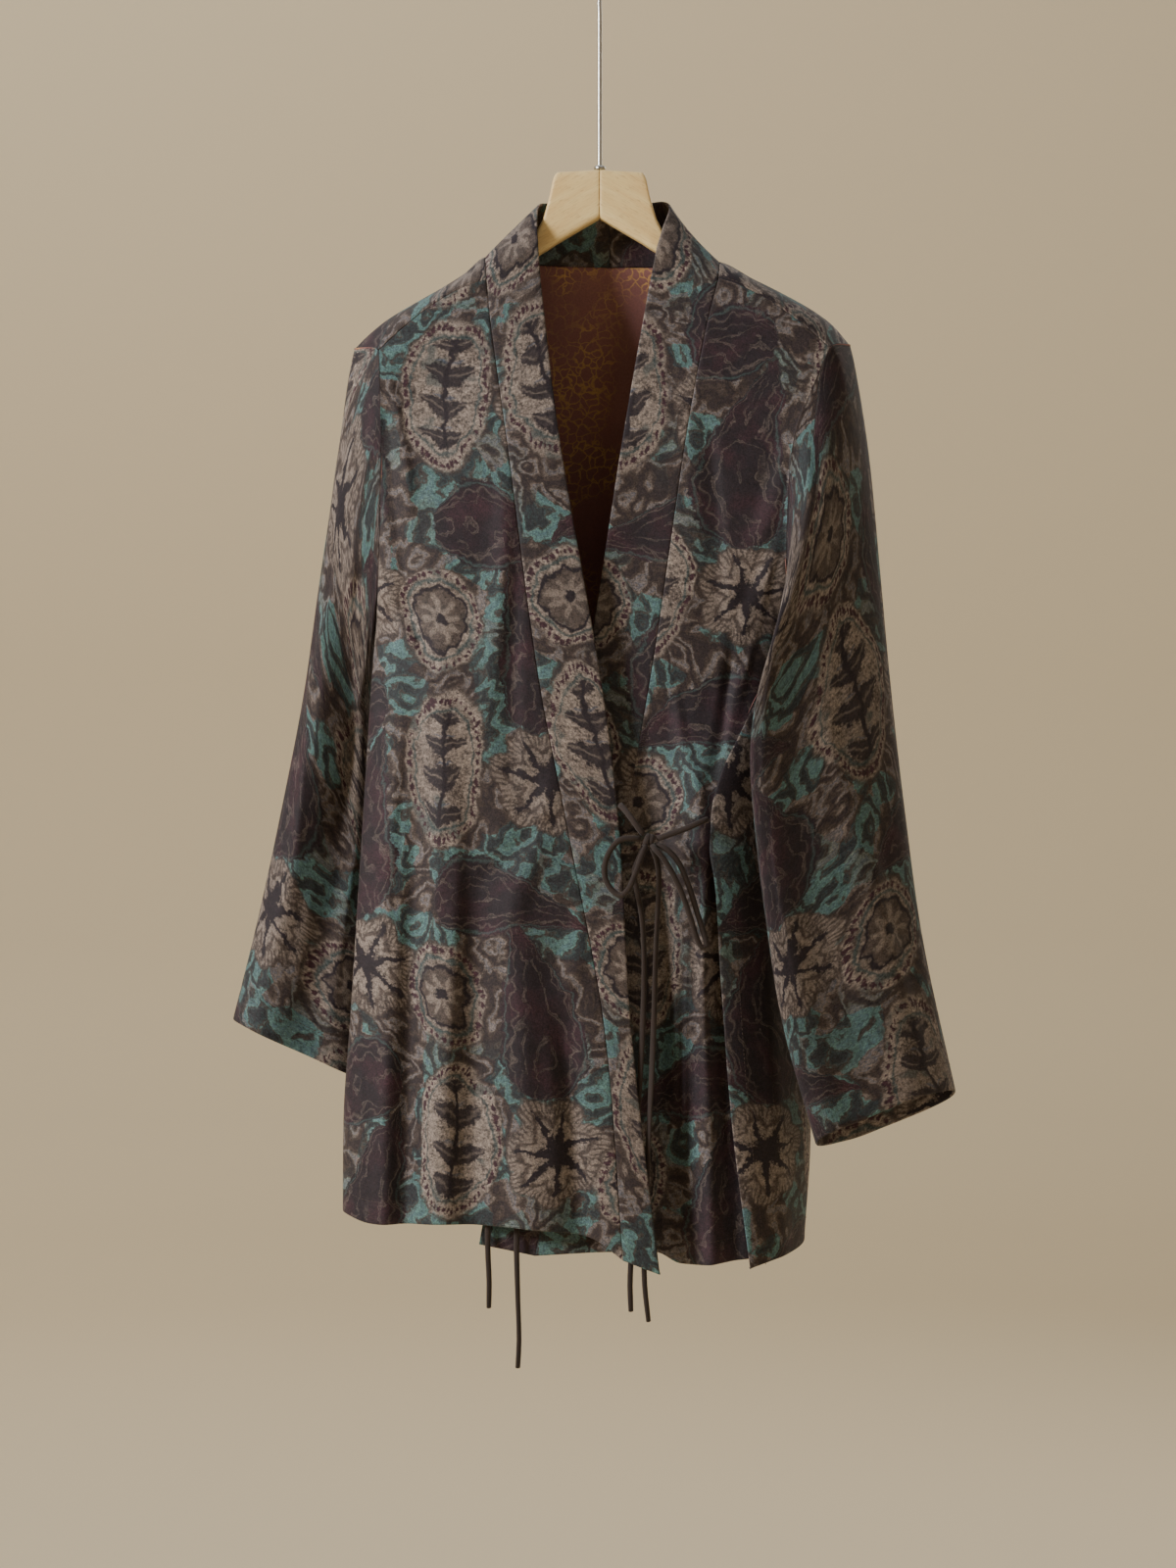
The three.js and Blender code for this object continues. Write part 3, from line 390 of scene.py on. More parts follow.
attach(knot_piece, "root")
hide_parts("bow_knot")

TIE_TWISTS = {"bow_tail_left": 0.5, "bow_tail_right": 0.7, "inner_tie_left": 0.6, "inner_tie_right": 0.8}
for tie_name, tie_points in TIES.items():
    tie_line, tie_length = smooth_line(tie_points, 12 if tie_name.startswith("tie") else 40)
    tie_facing = (0.3, -1, 0) if "loop" in tie_name else (0, -1, 0.05)
    tie_mesh = bar_mesh(tie_name, tie_line, TIE_WIDE, TIE_THICK, tie_facing, TIE_TWISTS.get(tie_name, 0))
    tie_piece = placed(f"cloth_{tie_name}", tie_mesh, tie_cloth)
    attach(tie_piece, "root")
    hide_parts(tie_name)

# ---------------------------------------------------------------- silk
# The jacket's own cloth: a thin, matt, slightly grainy silk, printed on its outer side with a
# lattice of paisleys, dotted ovals and flowers over scrolls. Its reverse is reddish brown.

PLUM = colour("2b2228")
MAROON = colour("452a33")
TAUPE = colour("84776f")
SAND = colour("a09288")
BARK = colour("463a36")
TEAL = colour("5f7f7c")
DEEP_TEAL = colour("394a4c")
BLUE = colour("44536b")

silk = Finish("printed silk")
silk_place = silk.node("ShaderNodeUVMap", {"uv_map": "cloth"})


def shaken(finish, place, scale, reach):
    """The place moved about by a soft noise, so that what is drawn there looks drawn by hand."""
    settings = {"operation": "SUBTRACT"}
    drift = finish.node("ShaderNodeTexNoise", {}, {"Vector": place, "Scale": scale, "Detail": 2}, 1)
    centred = finish.node("ShaderNodeVectorMath", settings, {0: drift, 1: (0.5, 0.5, 0.5)})
    settings = {"operation": "SCALE"}
    scaled = finish.node("ShaderNodeVectorMath", settings, {0: centred, "Scale": reach})
    return finish.node("ShaderNodeVectorMath", {"operation": "ADD"}, {0: place, 1: scaled})


silk_drawn = shaken(silk, shaken(silk, shaken(silk, silk_place, 13, 0.03), 60, 0.011), 240, 0.0035)
print_x, print_y, _ = [part / MM for part in silk.parts(silk_drawn)]

REPEAT_WIDE = 158
REPEAT_HIGH = 292


def repeated(x, y, turn=0.0):
    """Places round the middle of a motif that is repeated in a half-drop lattice.

    Every second column is turned over, left to right."""
    column = ((print_x - x) / REPEAT_WIDE).of("ROUND")
    beside = (print_x - x) - column * REPEAT_WIDE
    fallen = (print_y - y) - column * (REPEAT_HIGH / 2)
    below = fallen - (fallen / REPEAT_HIGH).of("ROUND") * REPEAT_HIGH
    handed = 1 - 2 * abs(column.of("MODULO", 2))
    beside = beside * handed
    across = beside * math.cos(turn) + below * math.sin(turn)
    along = below * math.cos(turn) - beside * math.sin(turn)
    return across, along


# The silk's own look under and over the print: washes, mottles and fine grain.
silk_wash = silk.noise(silk_place, 9, 2)
silk_cloud = silk.noise(silk_place, 42, 2, 0.6)
silk_mottle = silk.noise(silk_place, 130, 2, 0.65)
silk_fleck = silk.noise(silk_place, 420, 2, 0.7)
silk_grain = silk.noise(silk_place, 780, 2, 0.8)
silk_speck = silk_mottle * 0.5 + silk_fleck * 0.5
dye_edge = (silk_speck - 0.5) * 9 + (silk_cloud - 0.5) * 4


def inside(distance, soft=2.2):
    """1 where the distance is below 0, fading over a soft edge that the grain breaks up."""
    return (0.5 - (distance + dye_edge) / soft).kept()


def line_at(value, half, soft=1.6):
    """1 along the line where the value is 0."""
    return (0.5 - (abs(value) + dye_edge * 0.25 - half) / soft).kept()


def within(value, half, soft):
    """1 where a plain number is near 0, with a smooth edge."""
    return (0.5 - (abs(value) - half) / soft).kept()


# The ground: curling leaf shapes, each with its own rings, in teal or in earth colours.
scroll_flow = silk.noise(silk_drawn, 22, 2, 0.5, 1.1)
scroll_cell = silk.node("ShaderNodeTexVoronoi", {}, {"Vector": silk_drawn, "Scale": 33}, 0)
scroll_pick = silk.node(
    "ShaderNodeSeparateColor", {}, {"Color": Wire(scroll_cell.socket.node.outputs[1])}
)
scroll_ring = scroll_cell * 13 + scroll_flow * 26
scroll_wave = scroll_ring.of("SINE")
teal_here = ((scroll_pick - 0.5) * 5 + (silk_wash - 0.5) * 5 + 0.5).kept()
teal_leaf = silk.mixed(DEEP_TEAL, TEAL, ((scroll_wave + silk_speck * 2 - 0.9) * 0.9 + 0.35).kept())
earth_leaf = silk.mixed(BARK, TAUPE, ((scroll_wave + silk_speck * 2 - 1.2) * 0.8 + 0.2).kept())
scroll_vein = (scroll_flow * 70 + scroll_cell * 6).of("SINE")
printed = silk.painted(
    earth_leaf,
    (teal_leaf, teal_here),
    (BARK, within(scroll_wave + 0.2, 0.24, 0.4) * 0.9),
    (PLUM, within(scroll_wave + 0.9, 0.16, 0.3) * 0.75),
    (BLUE, within(scroll_wave - 0.92, 0.06, 0.1) * 0.5),
    (BARK, within(scroll_vein, 0.06, 0.24) * 0.6),
)

# Round flowers: seven blunt petals with a fringe at their tips and a dark rib in each.
flower_x, flower_y = repeated(118, 60, 0.2)
flower_far = (flower_x * flower_x + flower_y * flower_y).of("SQRT")
flower_turn = flower_y.of("ARCTAN2", flower_x)
flower_lobe = abs((flower_turn * 3.5).of("COSINE"))
flower_edge = 36 + 8 * flower_lobe
flower_fringe = ((flower_turn * 56).of("SINE") * 1.6 + 0.2).kept() * inside(30 - flower_far, 5)
flower_skin = silk.mixed(BARK, TAUPE, ((silk_cloud + silk_speck - 0.7) * 3.5).kept())
flower_ring = flower_far - flower_edge * (0.6 + 0.12 * flower_lobe)
rib_wide = 3.6 - 0.06 * flower_far
flower_rib = inside(abs((flower_turn * 3.5).of("SINE")) * flower_far / 3.5 - rib_wide, 1.2)
flower_skin = silk.painted(
    flower_skin,
    (BARK, flower_fringe * 0.7),
    (BARK, line_at(flower_ring, 2.2, 2) * 0.8),
    (SAND, line_at(flower_ring + 6, 1.4, 1.5) * 0.5),
    (PLUM, flower_rib * inside(flower_far - 37, 3)),
    (PLUM, inside(flower_far - 8)),
)
printed = silk.painted(
    printed,
    (flower_skin, inside(flower_far - flower_edge)),
    (BARK, line_at(flower_far - flower_edge, 1.2) * 0.7),
)


def oval(x, y, wide, high, dots, turn):
    """A dotted oval: how far out a place lies in it (1 at its edge), and its dots."""
    across, along = repeated(x, y, turn)
    far = ((across / wide) ** 2 + (along / high) ** 2).of("SQRT")
    angle = (along / high).of("ARCTAN2", across / wide)
    step = (angle * (dots / 2 / math.pi)).of("FRACT") - 0.5
    pitch = math.pi * (wide + high) / dots * 0.9
    from_rim = (far - 0.9) * ((wide + high) / 2)
    dot = ((step * pitch) ** 2 + from_rim**2).of("SQRT") - 2.0
    return across, along, far, angle, inside(dot, 1.2)


# Tall ovals: a sandy ground with a dotted rim, and a stem of paired leaves inside.
TALL_ACROSS = 45
tall_x, tall_y, tall_far, _, tall_dots = oval(36, 70, 35, 64, 46, 0.08)
leaf_reach = abs(tall_x) - (4 + 24 * (1 - tall_far).kept().of("SQRT"))
leaf_bend = ((tall_y / 27).of("FRACT") - 0.5) * 27 - abs(tall_x) * 0.5
leaf_mask = inside(abs(leaf_bend) - 7.8 + 0.016 * tall_x * tall_x) * inside(leaf_reach)
tall_heart = inside((tall_far - 0.74) * TALL_ACROSS)
motif_skin = silk.mixed(BARK, TAUPE, ((silk_cloud + silk_speck - 0.72) * 3.2).kept())
motif_skin = silk.painted(
    motif_skin,
    (SAND, ((silk_speck + silk_wash - 0.95) * 4).kept() * 0.8),
    (DEEP_TEAL, ((silk_cloud * 2 - scroll_flow - 0.72) * 7).kept() * 0.6),
)
tall_skin = silk.painted(
    motif_skin,
    (PLUM, leaf_mask * tall_heart * 0.92),
    (TAUPE, line_at(leaf_bend, 0.7) * leaf_mask * tall_heart * 0.7),
    (BLUE, line_at(leaf_bend - 10, 1.0) * tall_heart * 0.6),
    (PLUM, line_at(tall_x, 2.0) * tall_heart),
    (DEEP_TEAL, line_at((tall_far - 0.78) * TALL_ACROSS, 1.0) * 0.8),
    (MAROON, tall_dots),
)
printed = silk.painted(
    printed,
    (tall_skin, inside((tall_far - 1) * TALL_ACROSS)),
    (BARK, line_at((tall_far - 1.02) * TALL_ACROSS, 1.2) * 0.6),
)

# Round ovals: rings, a scalloped rosette and a dotted rim.
ROUND_ACROSS = 37
_, _, round_far, round_angle, round_dots = oval(30, 186, 34, 41, 34, -0.2)
scallop = 0.56 + 0.08 * abs((round_angle * 4).of("SINE"))
round_arms = inside(abs((round_angle * 4).of("SINE")) * round_far * 9 - 2.1, 0.8)
round_skin = silk.painted(
    motif_skin,
    (BARK, inside((round_far - scallop) * ROUND_ACROSS) * 0.8),
    (PLUM, line_at((round_far - scallop) * ROUND_ACROSS, 1.5)),
    (TAUPE, round_arms * inside((round_far - 0.47) * ROUND_ACROSS)),
    (PLUM, inside((round_far - 0.14) * ROUND_ACROSS)),
    (DEEP_TEAL, line_at((round_far - 0.76) * ROUND_ACROSS, 1.2) * 0.8),
    (MAROON, round_dots),
)
printed = silk.painted(
    printed,
    (round_skin, inside((round_far - 1) * ROUND_ACROSS)),
    (BARK, line_at((round_far - 1.02) * ROUND_ACROSS, 1.2) * 0.6),
)


def paisley(x, y, turn, length, wide, bend):
    """A paisley: a share from 0 on its middle line to 1 at its edge, and how far up it lies."""
    across, along = repeated(x, y, turn)
    up = along / length + 0.5
    held = up.of("MAXIMUM", 0.001).of("MINIMUM", 0.999)
    bent = across - bend * held**2.5 + bend * 0.2
    half = wide * 1.9 * held.of("SQRT") * (1 - held)
    beyond = abs(up - 0.5) - 0.5
    return abs(bent) / half.of("MAXIMUM", 0.6), held, beyond


paisley_dye = silk.mixed(PLUM, MAROON, ((silk.noise(silk_place, 36, 2) - 0.5) * 3 + 0.2).kept())
for x, y, turn, length, wide, bend in ((112, 168, 0.3, 132, 54, 62), (84, 258, 1.35, 112, 44, -52)):
    paisley_share, paisley_up, paisley_beyond = paisley(x, y, turn, length, wide, bend)
    paisley_mask = inside((paisley_share - 1) * (wide * 0.5), 1.6) * inside(paisley_beyond * length)
    paisley_scallop = 0.72 + 0.06 * (paisley_up * 52).of("SINE")
    paisley_line = line_at((paisley_share - paisley_scallop) * (wide * 0.5), 0.3)
    paisley_coil = (paisley_share * 13 + paisley_up * 9 + scroll_flow * 22).of("SINE")
    paisley_coil = within(paisley_coil - 0.92, 0.05, 0.14) * ((silk_cloud - 0.34) * 5).kept()
    paisley_rim = line_at((paisley_share - 0.9) * (wide * 0.5), 0.4)
    paisley_coats = ((TAUPE, paisley_coil * 0.5), (TAUPE, paisley_line * 0.5), (TEAL, paisley_rim * 0.4))
    paisley_skin = silk.painted(paisley_dye, *paisley_coats)
    printed = silk.mixed(printed, paisley_skin, paisley_mask)

printed = silk.mixed(printed, PLUM, ((silk_wash - 0.5) * 2.4).kept() * 0.45)
grain_light = 0.9 * silk_mottle + 1.7 * silk_fleck + 2.1 * silk_grain - 1.47
printed = silk.shaded(printed, grain_light)
silk_weft = (silk.parts(silk_place)[0] * 9000).of("SINE")
silk_crumple = silk.noise(silk_place, 34, 3, 0.55)
silk_bump = silk.bump(silk_crumple, 0.0022, 0.5)
silk_bump = silk.bump(silk_grain + silk_fleck * 0.7 + silk_weft * 0.15, 0.0003, 0.6, silk_bump)
silk.gives(Base_Color=printed, Roughness=0.56 + 0.2 * silk_fleck, Normal=silk_bump)
silk.gives(Sheen_Weight=0.1, Specular_IOR_Level=0.3)

reverse = Finish("reverse of the silk")
reverse_place = reverse.node("ShaderNodeUVMap", {"uv_map": "cloth"})
reverse_drawn = shaken(reverse, reverse_place, 90, 0.012)
reverse_wash = reverse.noise(reverse_place, 9, 3)
reverse_skin = reverse.mixed(colour("714a48"), colour("a36b66"), reverse_wash)
crackle = reverse.node(
    "ShaderNodeTexVoronoi",
    {"feature": "DISTANCE_TO_EDGE"},
    {"Vector": reverse_drawn, "Scale": 130},
)
crackle_here = ((reverse.noise(reverse_place, 16, 2) - 0.45) * 8).kept()
crackle_line = (0.5 - (crackle - 0.055) / 0.06).kept() * crackle_here
reverse_skin = reverse.mixed(reverse_skin, colour("c2965a"), crackle_line * 0.9)
reverse_grain = reverse.noise(reverse_place, 600, 2, 0.7)
reverse_skin = reverse.shaded(reverse_skin, 0.6 + 0.8 * reverse_grain)
reverse_bump = reverse.bump(reverse_grain + 0.6 * reverse_wash, 0.0003, 0.5)
reverse.gives(Base_Color=reverse_skin, Roughness=0.5 + 0.2 * reverse_grain, Normal=reverse_bump)
reverse.gives(Sheen_Weight=0.2)

# ---------------------------------------------------------------- fronts
# The two fronts, cut from the band's seam to the side seam. The left one laps over the right one.
# Each is one thickness of silk with its hem turned up inside and stitched.


def table(columns, *rows):
    """Rows of sizes under named columns."""
    return {name: np.array(sizes, float) for name, sizes in zip(columns.split(), zip(*rows))}


def read(rows, key, column, at):
    """A table's column read smoothly at any place between its rows."""
    keys, sizes = rows[key], rows[column]
    slope = np.empty_like(sizes)
    slope[1:-1] = (sizes[2:] - sizes[:-2]) / (keys[2:] - keys[:-2])
    slope[0] = (sizes[1] - sizes[0]) / (keys[1] - keys[0])
    slope[-1] = (sizes[-1] - sizes[-2]) / (keys[-1] - keys[-2])
    at = np.clip(at, keys[0], keys[-1])
    row = np.clip(np.searchsorted(keys, at, side="right") - 1, 0, len(keys) - 2)
    span = keys[row + 1] - keys[row]
    t = (at - keys[row]) / span
    return (
        sizes[row] * (1 + 2 * t) * (1 - t) ** 2
        + sizes[row + 1] * t * t * (3 - 2 * t)
        + slope[row] * span * t * (1 - t) ** 2
        - slope[row + 1] * span * t * t * (1 - t)
    )


def mix(a, b, share):
    return a + (b - a) * share


def ease(at, start, end):
    """0 at the start of a stretch, 1 past its end, smooth between."""
    t = np.clip((at - start) / (end - start), 0, 1)
    return t * t * (3 - 2 * t)


def rounded(share, power):
    """A quarter turn of a rounded section: 0 to 1, steep at the end."""
    return 1 - (1 - np.clip(share, 0, 1) ** power) ** (1 / power)


DEPTH = table(
    "drop front back",
    (250, 20, 22), (330, 31, 33), (420, 42, 42), (560, 48, 48), (760, 53, 52), (1060, 60, 58),
)
ARMHOLE = {
    "left": table(
        "drop frontX frontY backX backY",
        (329, -175, -26, -186, 20), (350, -174, -31, -176, 31), (400, -173, -35, -169, 35),
        (470, -174, -33, -168, 34), (520, -176, -25, -172, 20), (545, -178, -6, -178, -6),
    ),
    "right": table(
        "drop frontX frontY backX backY",
        (327, 182, -26, 190, 20), (350, 172, -31, 180, 31), (400, 153, -37, 169, 35),
        (470, 147, -40, 164, 34), (520, 149, -30, 157, 22), (545, 154, -8, 154, -8),
    ),
}
UNDERARM = 545
SIDE = {
    "left": table(
        "drop x y",
        (545, -178, -6), (590, -181, -20), (670, -186, -24), (765, -192, -24),
        (860, -198, -23), (930, -203, -22), (1012, -204, -20),
    ),
    "right": table(
        "drop x y",
        (545, 154, -8), (575, 140, -20), (600, 126, -32), (632, 111, -44), (665, 95, -55),
        (701, 87, -60), (752, 95, -56), (830, 100, -52), (944, 109, -50), (1054, 123, -50),
    ),
}
LAPEL = {
    "left": table(
        "down seamX seamDrop edgeX edgeDrop",
        (0, -90, 273, -49, 244), (0.05, -87, 305, -46, 281), (0.2, -72, 413, -31, 405),
        (0.4, -49, 585, 1, 592), (0.55, -27, 700, 15, 706), (0.75, 3, 862, 25, 868),
        (1, 18, 1046, 47, 1057),
    ),
    "right": table(
        "down seamX seamDrop edgeX edgeDrop",
        (0, 94, 272, 45, 248), (0.05, 84, 312, 36, 296), (0.2, 67, 405, 18, 400),
        (0.4, 41, 582, -9, 572), (0.6, 12, 740, -38, 726), (0.8, -22, 892, -67, 880),
        (1, -51, 1044, -95, 1035),
    ),
}
HEM = {
    "left": table(
        "across drop",
        (0, 1046), (0.1, 1030), (0.25, 1023), (0.6, 1018), (0.9, 1019), (1, 1012),
    ),
    "right": table("across drop", (0, 1044), (0.35, 1041), (0.56, 1043), (0.66, 1052), (1, 1046)),
    "back": table("across drop", (0, 1012), (0.5, 1026), (0.9, 1046), (1, 1038)),
}
# The long folds: where each lies at its top and at the hem, its half-width and how far it stands out.
FOLDS = {
    "left": table(
        "start topX hemX width depth",
        (560, -160, -172, 11, 8), (540, -140, -153, 11, -9), (420, -122, -126, 17, 8),
        (640, -96, -100, 12, -5), (640, -74, -52, 17, 8), (760, -36, -14, 12, -7),
    ),
    "right": table(
        "start topX hemX width depth",
        (560, 74, 88, 9, 10), (590, 38, 56, 20, -20), (720, 86, 108, 6, -5),
    ),
    "back": table(
        "start topX hemX width depth",
        (430, -110, -128, 20, 9.5), (520, -70, -84, 15, -9), (480, -20, -32, 22, 9.5),
        (600, 28, 22, 15, -10), (460, 72, 78, 20, 10.5), (560, 118, 122, 14, -9),
    ),
}
# Creases, each from one place to another, with its sideways bow, half-width and height.
CREASES = {
    "left": table(
        "x drop toX toDrop bow width height",
        (-168, 352, -150, 470, 4, 7, 2.7), (-166, 420, -128, 610, -6, 9, -3.3),
        (-172, 520, -120, 640, 5, 8, 2.8), (-70, 420, -96, 640, 6, 12, 2.4),
        (-60, 470, -66, 700, -5, 8, -2.1), (-30, 640, -80, 800, 7, 9, 2.5),
        (-12, 690, -100, 760, -6, 7, -2.0), (8, 705, -36, 860, 5, 8, 2.4),
        (-110, 700, -128, 980, 4, 7, 2.1), (-150, 640, -166, 900, -4, 6, -1.8),
        (-180, 600, -176, 760, 3, 6, 2.0), (-40, 860, -34, 1024, 3, 8, 2.2),
        (0, 900, 8, 1030, -3, 6, -2.0), (-190, 880, -188, 1010, 2, 6, 2.2),
        (-110, 930, -112, 1018, 2, 5, -1.8), (-68, 940, -66, 1020, 2, 6, 1.7),
    ),
    "right": table(
        "x drop toX toDrop bow width height",
        (150, 400, 120, 500, 5, 8, 2.4), (146, 470, 104, 640, -5, 7, 2.8),
        (84, 380, 92, 560, 4, 10, -2.2), (104, 560, 86, 690, 3, 5, -3.0),
        (128, 520, 100, 600, 4, 6, -2.2), (60, 600, 84, 698, -4, 6, 2.4),
        (40, 660, 84, 704, -3, 5, 2.2), (30, 720, 82, 708, 2, 5, -2.1),
        (58, 760, 52, 1000, 3, 6, 2.2), (86, 720, 82, 900, -3, 5, 2.4),
        (20, 780, 14, 1030, 3, 8, 2.1), (96, 860, 104, 1040, 2, 5, 2.2),
        (-10, 900, -20, 1036, 2, 6, -2.0),
    ),
}
HEM_DEEP = 18
CLOTH_THIN = 0.9
# One layer's share of the greatest thickness, which is at a turned hem, and how far the hem's
# stitches pull the cloth in.
ONE_LAYER = 0.45
STITCH_DENT = 0.35
STITCH_DENT_HALF = 2.2
# Below the tie the right front's side edge is tucked this far aside and back, under the back's
# turned edge.
TUCK_ASIDE = 7
TUCK_BACK = 8
# The seam in front of each shoulder: x at the neck and at the armhole, then the drop at the neck,
# its slope and its bow.
FORWARD_SEAM = {"left": (-90, -175, 273, 8, 48), "right": (94, 182, 272, 10, 45)}
LAP = {"left": -8, "right": 8}


def fold_height(folds, x, drop, hem):
    """How far the long folds of a panel stand out at each place."""
    height = 0
    for start, top, low, width, depth in zip(*folds.values()):
        centre = mix(top, low, (drop - start) / (hem - start))
        grown = ease(drop, start, start + 0.7 * (hem - start))
        height = height + depth * grown * np.exp(-(((x - centre) / width) ** 2))
    return height


def crease_height(creases, x, drop):
    """How far the creases stand out: each a ridge with one steep side, fading at both ends."""
    total = 0
    for x0, y0, x1, y1, bow, width, height in zip(*creases.values()):
        long = math.hypot(x1 - x0, y1 - y0)
        along = ((x - x0) * (x1 - x0) + (drop - y0) * (y1 - y0)) / long**2
        aside = ((x - x0) * (y1 - y0) - (drop - y0) * (x1 - x0)) / long
        inner = np.clip(along, 0, 1)
        off = (aside - bow * 4 * inner * (1 - inner)) / (width * (0.65 + 0.6 * inner))
        leaning = off * (1 + 0.4 * np.tanh(off * 1.5))
        faded = ease(along, -0.12, 0.28) * (1 - ease(along, 0.68, 1.12))
        total = total + height * faded * (1 - 0.55 * off**2) * np.exp(-(leaning**2))
    return total


def point(x, y, drop):
    return np.stack(np.broadcast_arrays(x, y, -np.asarray(drop, float)), axis=-1)


def forward_seam(side, across):
    """The seam in front of the shoulder ridge, from the neck (0) to the armhole (1)."""
    neck, shoulder, top, slope, bow = FORWARD_SEAM[side]
    drop = top + slope * across + bow * across**1.6
    return point(mix(neck, shoulder, across), mix(-22, -26, across), drop)


def lapel_line(side, line, down):
    """The band's seam on a front, or the band's free edge, from the forward seam to the hem."""
    x = read(LAPEL[side], "down", line + "X", down)
    drop = read(LAPEL[side], "down", line + "Drop", down)
    depth = -read(DEPTH, "drop", "front", drop) + LAP[side] * ease(drop, 300, 520)
    return point(x, mix(-22, depth, ease(down, 0, 0.05)), drop)


def front_side(side, drop):
    """A front's side edge: the armhole down to the underarm, then the side seam."""
    hole, seam = ARMHOLE[side], SIDE[side]
    above = drop < UNDERARM
    x = np.where(above, read(hole, "drop", "frontX", drop), read(seam, "drop", "x", drop))
    y = np.where(above, read(hole, "drop", "frontY", drop), read(seam, "drop", "y", drop))
    return point(x, y, drop)


def laid_out(grid):
    """How far along its row each point lies, measured over the cloth."""
    steps = np.linalg.norm(np.diff(grid[..., :2], axis=1), axis=-1)
    return np.concatenate([np.zeros((len(grid), 1)), np.cumsum(steps, axis=1)], axis=1)


def hem_dent(to_hem, deep):
    """How far the stitches of a turned hem pull the cloth in."""
    return STITCH_DENT * np.exp(-(((to_hem - deep) / STITCH_DENT_HALF) ** 2))


def layers(to_hem, deep):
    """The share of the greatest thickness: all of it in a turned hem, one layer above it."""
    return np.where(to_hem < deep, 1.0, ONE_LAYER)


def front_panel(side):
    down = np.linspace(0, 1, 150)[:, None] ** 1.08
    share = np.sin(np.linspace(0, 1, 78)[None, :] * math.pi / 2) ** 0.85
    seam_top = -forward_seam(side, 0.0)[2]
    side_top = -forward_seam(side, 1.0)[2]
    side_hem = read(HEM[side], "across", "drop", 1)
    seam = lapel_line(side, "seam", down)
    edge = front_side(side, mix(side_top, side_hem, down))
    hem = read(HEM[side], "across", "drop", share)
    level = mix(-seam[..., 2], -edge[..., 2], share)
    seam_hem = -lapel_line(side, "seam", np.array(1.0))[2]
    drop = level + (hem - mix(seam_hem, side_hem, share)) * down**2
    bow = -forward_seam(side, share)[..., 2] - mix(seam_top, side_top, share)
    flat = ease(drop, UNDERARM, 650) if side == "right" else 0
    tucked = ease(drop, 610, 720) * share**9 if side == "right" else 0
    power = mix(mix(1, 2.4, ease(down, 0, 0.16)), 1.3, flat)
    x = mix(seam[..., 0], edge[..., 0], share) + TUCK_ASIDE * tucked
    fold = fold_height(FOLDS[side], x, drop, hem) * (1 - share**8) * ease(share, 0, 0.06)
    fold = fold + crease_height(CREASES[side], x, drop) * (1 - share**10) * ease(share, 0, 0.1)
    to_hem = (hem - drop) + 0 * x
    fold = fold - hem_dent(to_hem, HEM_DEEP)
    y = mix(seam[..., 1], edge[..., 1], rounded(share, power)) - fold + TUCK_BACK * tucked
    grid = point(x, y, drop + bow * (1 - down) ** 6)
    ways = 1 if side == "right" else -1
    across = ways * laid_out(grid) + seam[..., 0]
    sheet = np.dstack([grid, across, grid[..., 2], 0 * x, layers(to_hem, HEM_DEEP)])
    return sheet if side == "right" else sheet[:, ::-1]


def edged(sheet, edge, wide=2.4, deep=0.8):
    """Close rows of points along one edge of a sheet, and how far each is rolled in there."""
    turned = {
        "left": sheet,
        "right": sheet[:, ::-1],
        "top": sheet.transpose(1, 0, 2),
        "bottom": sheet[::-1].transpose(1, 0, 2),
    }[edge]
    first, second = turned[:, :1], turned[:, 1:2]
    gap = np.linalg.norm((second - first)[..., :3], axis=-1)[..., None]
    steps = np.array([0, 0.12, 0.32, 0.62])[None, :, None]
    reach = np.minimum(wide / np.maximum(gap, 1e-6), 0.85)
    close = first + (second - first) * steps * reach
    close[..., 5] = deep * (1 - np.sqrt(1 - (1 - steps[..., 0]) ** 2))
    whole = np.concatenate([close, turned[:, 1:]], axis=1)
    return {
        "left": whole,
        "right": whole[:, ::-1],
        "top": whole.transpose(1, 0, 2),
        "bottom": whole.transpose(1, 0, 2)[::-1],
    }[edge]


def rolled(sheet):
    """The sheet's points with the rolled edges drawn inwards."""
    place = sheet[..., :3]
    facing = unit(np.cross(np.gradient(place, axis=0), np.gradient(place, axis=1)))
    return place - facing * sheet[..., 5:6]


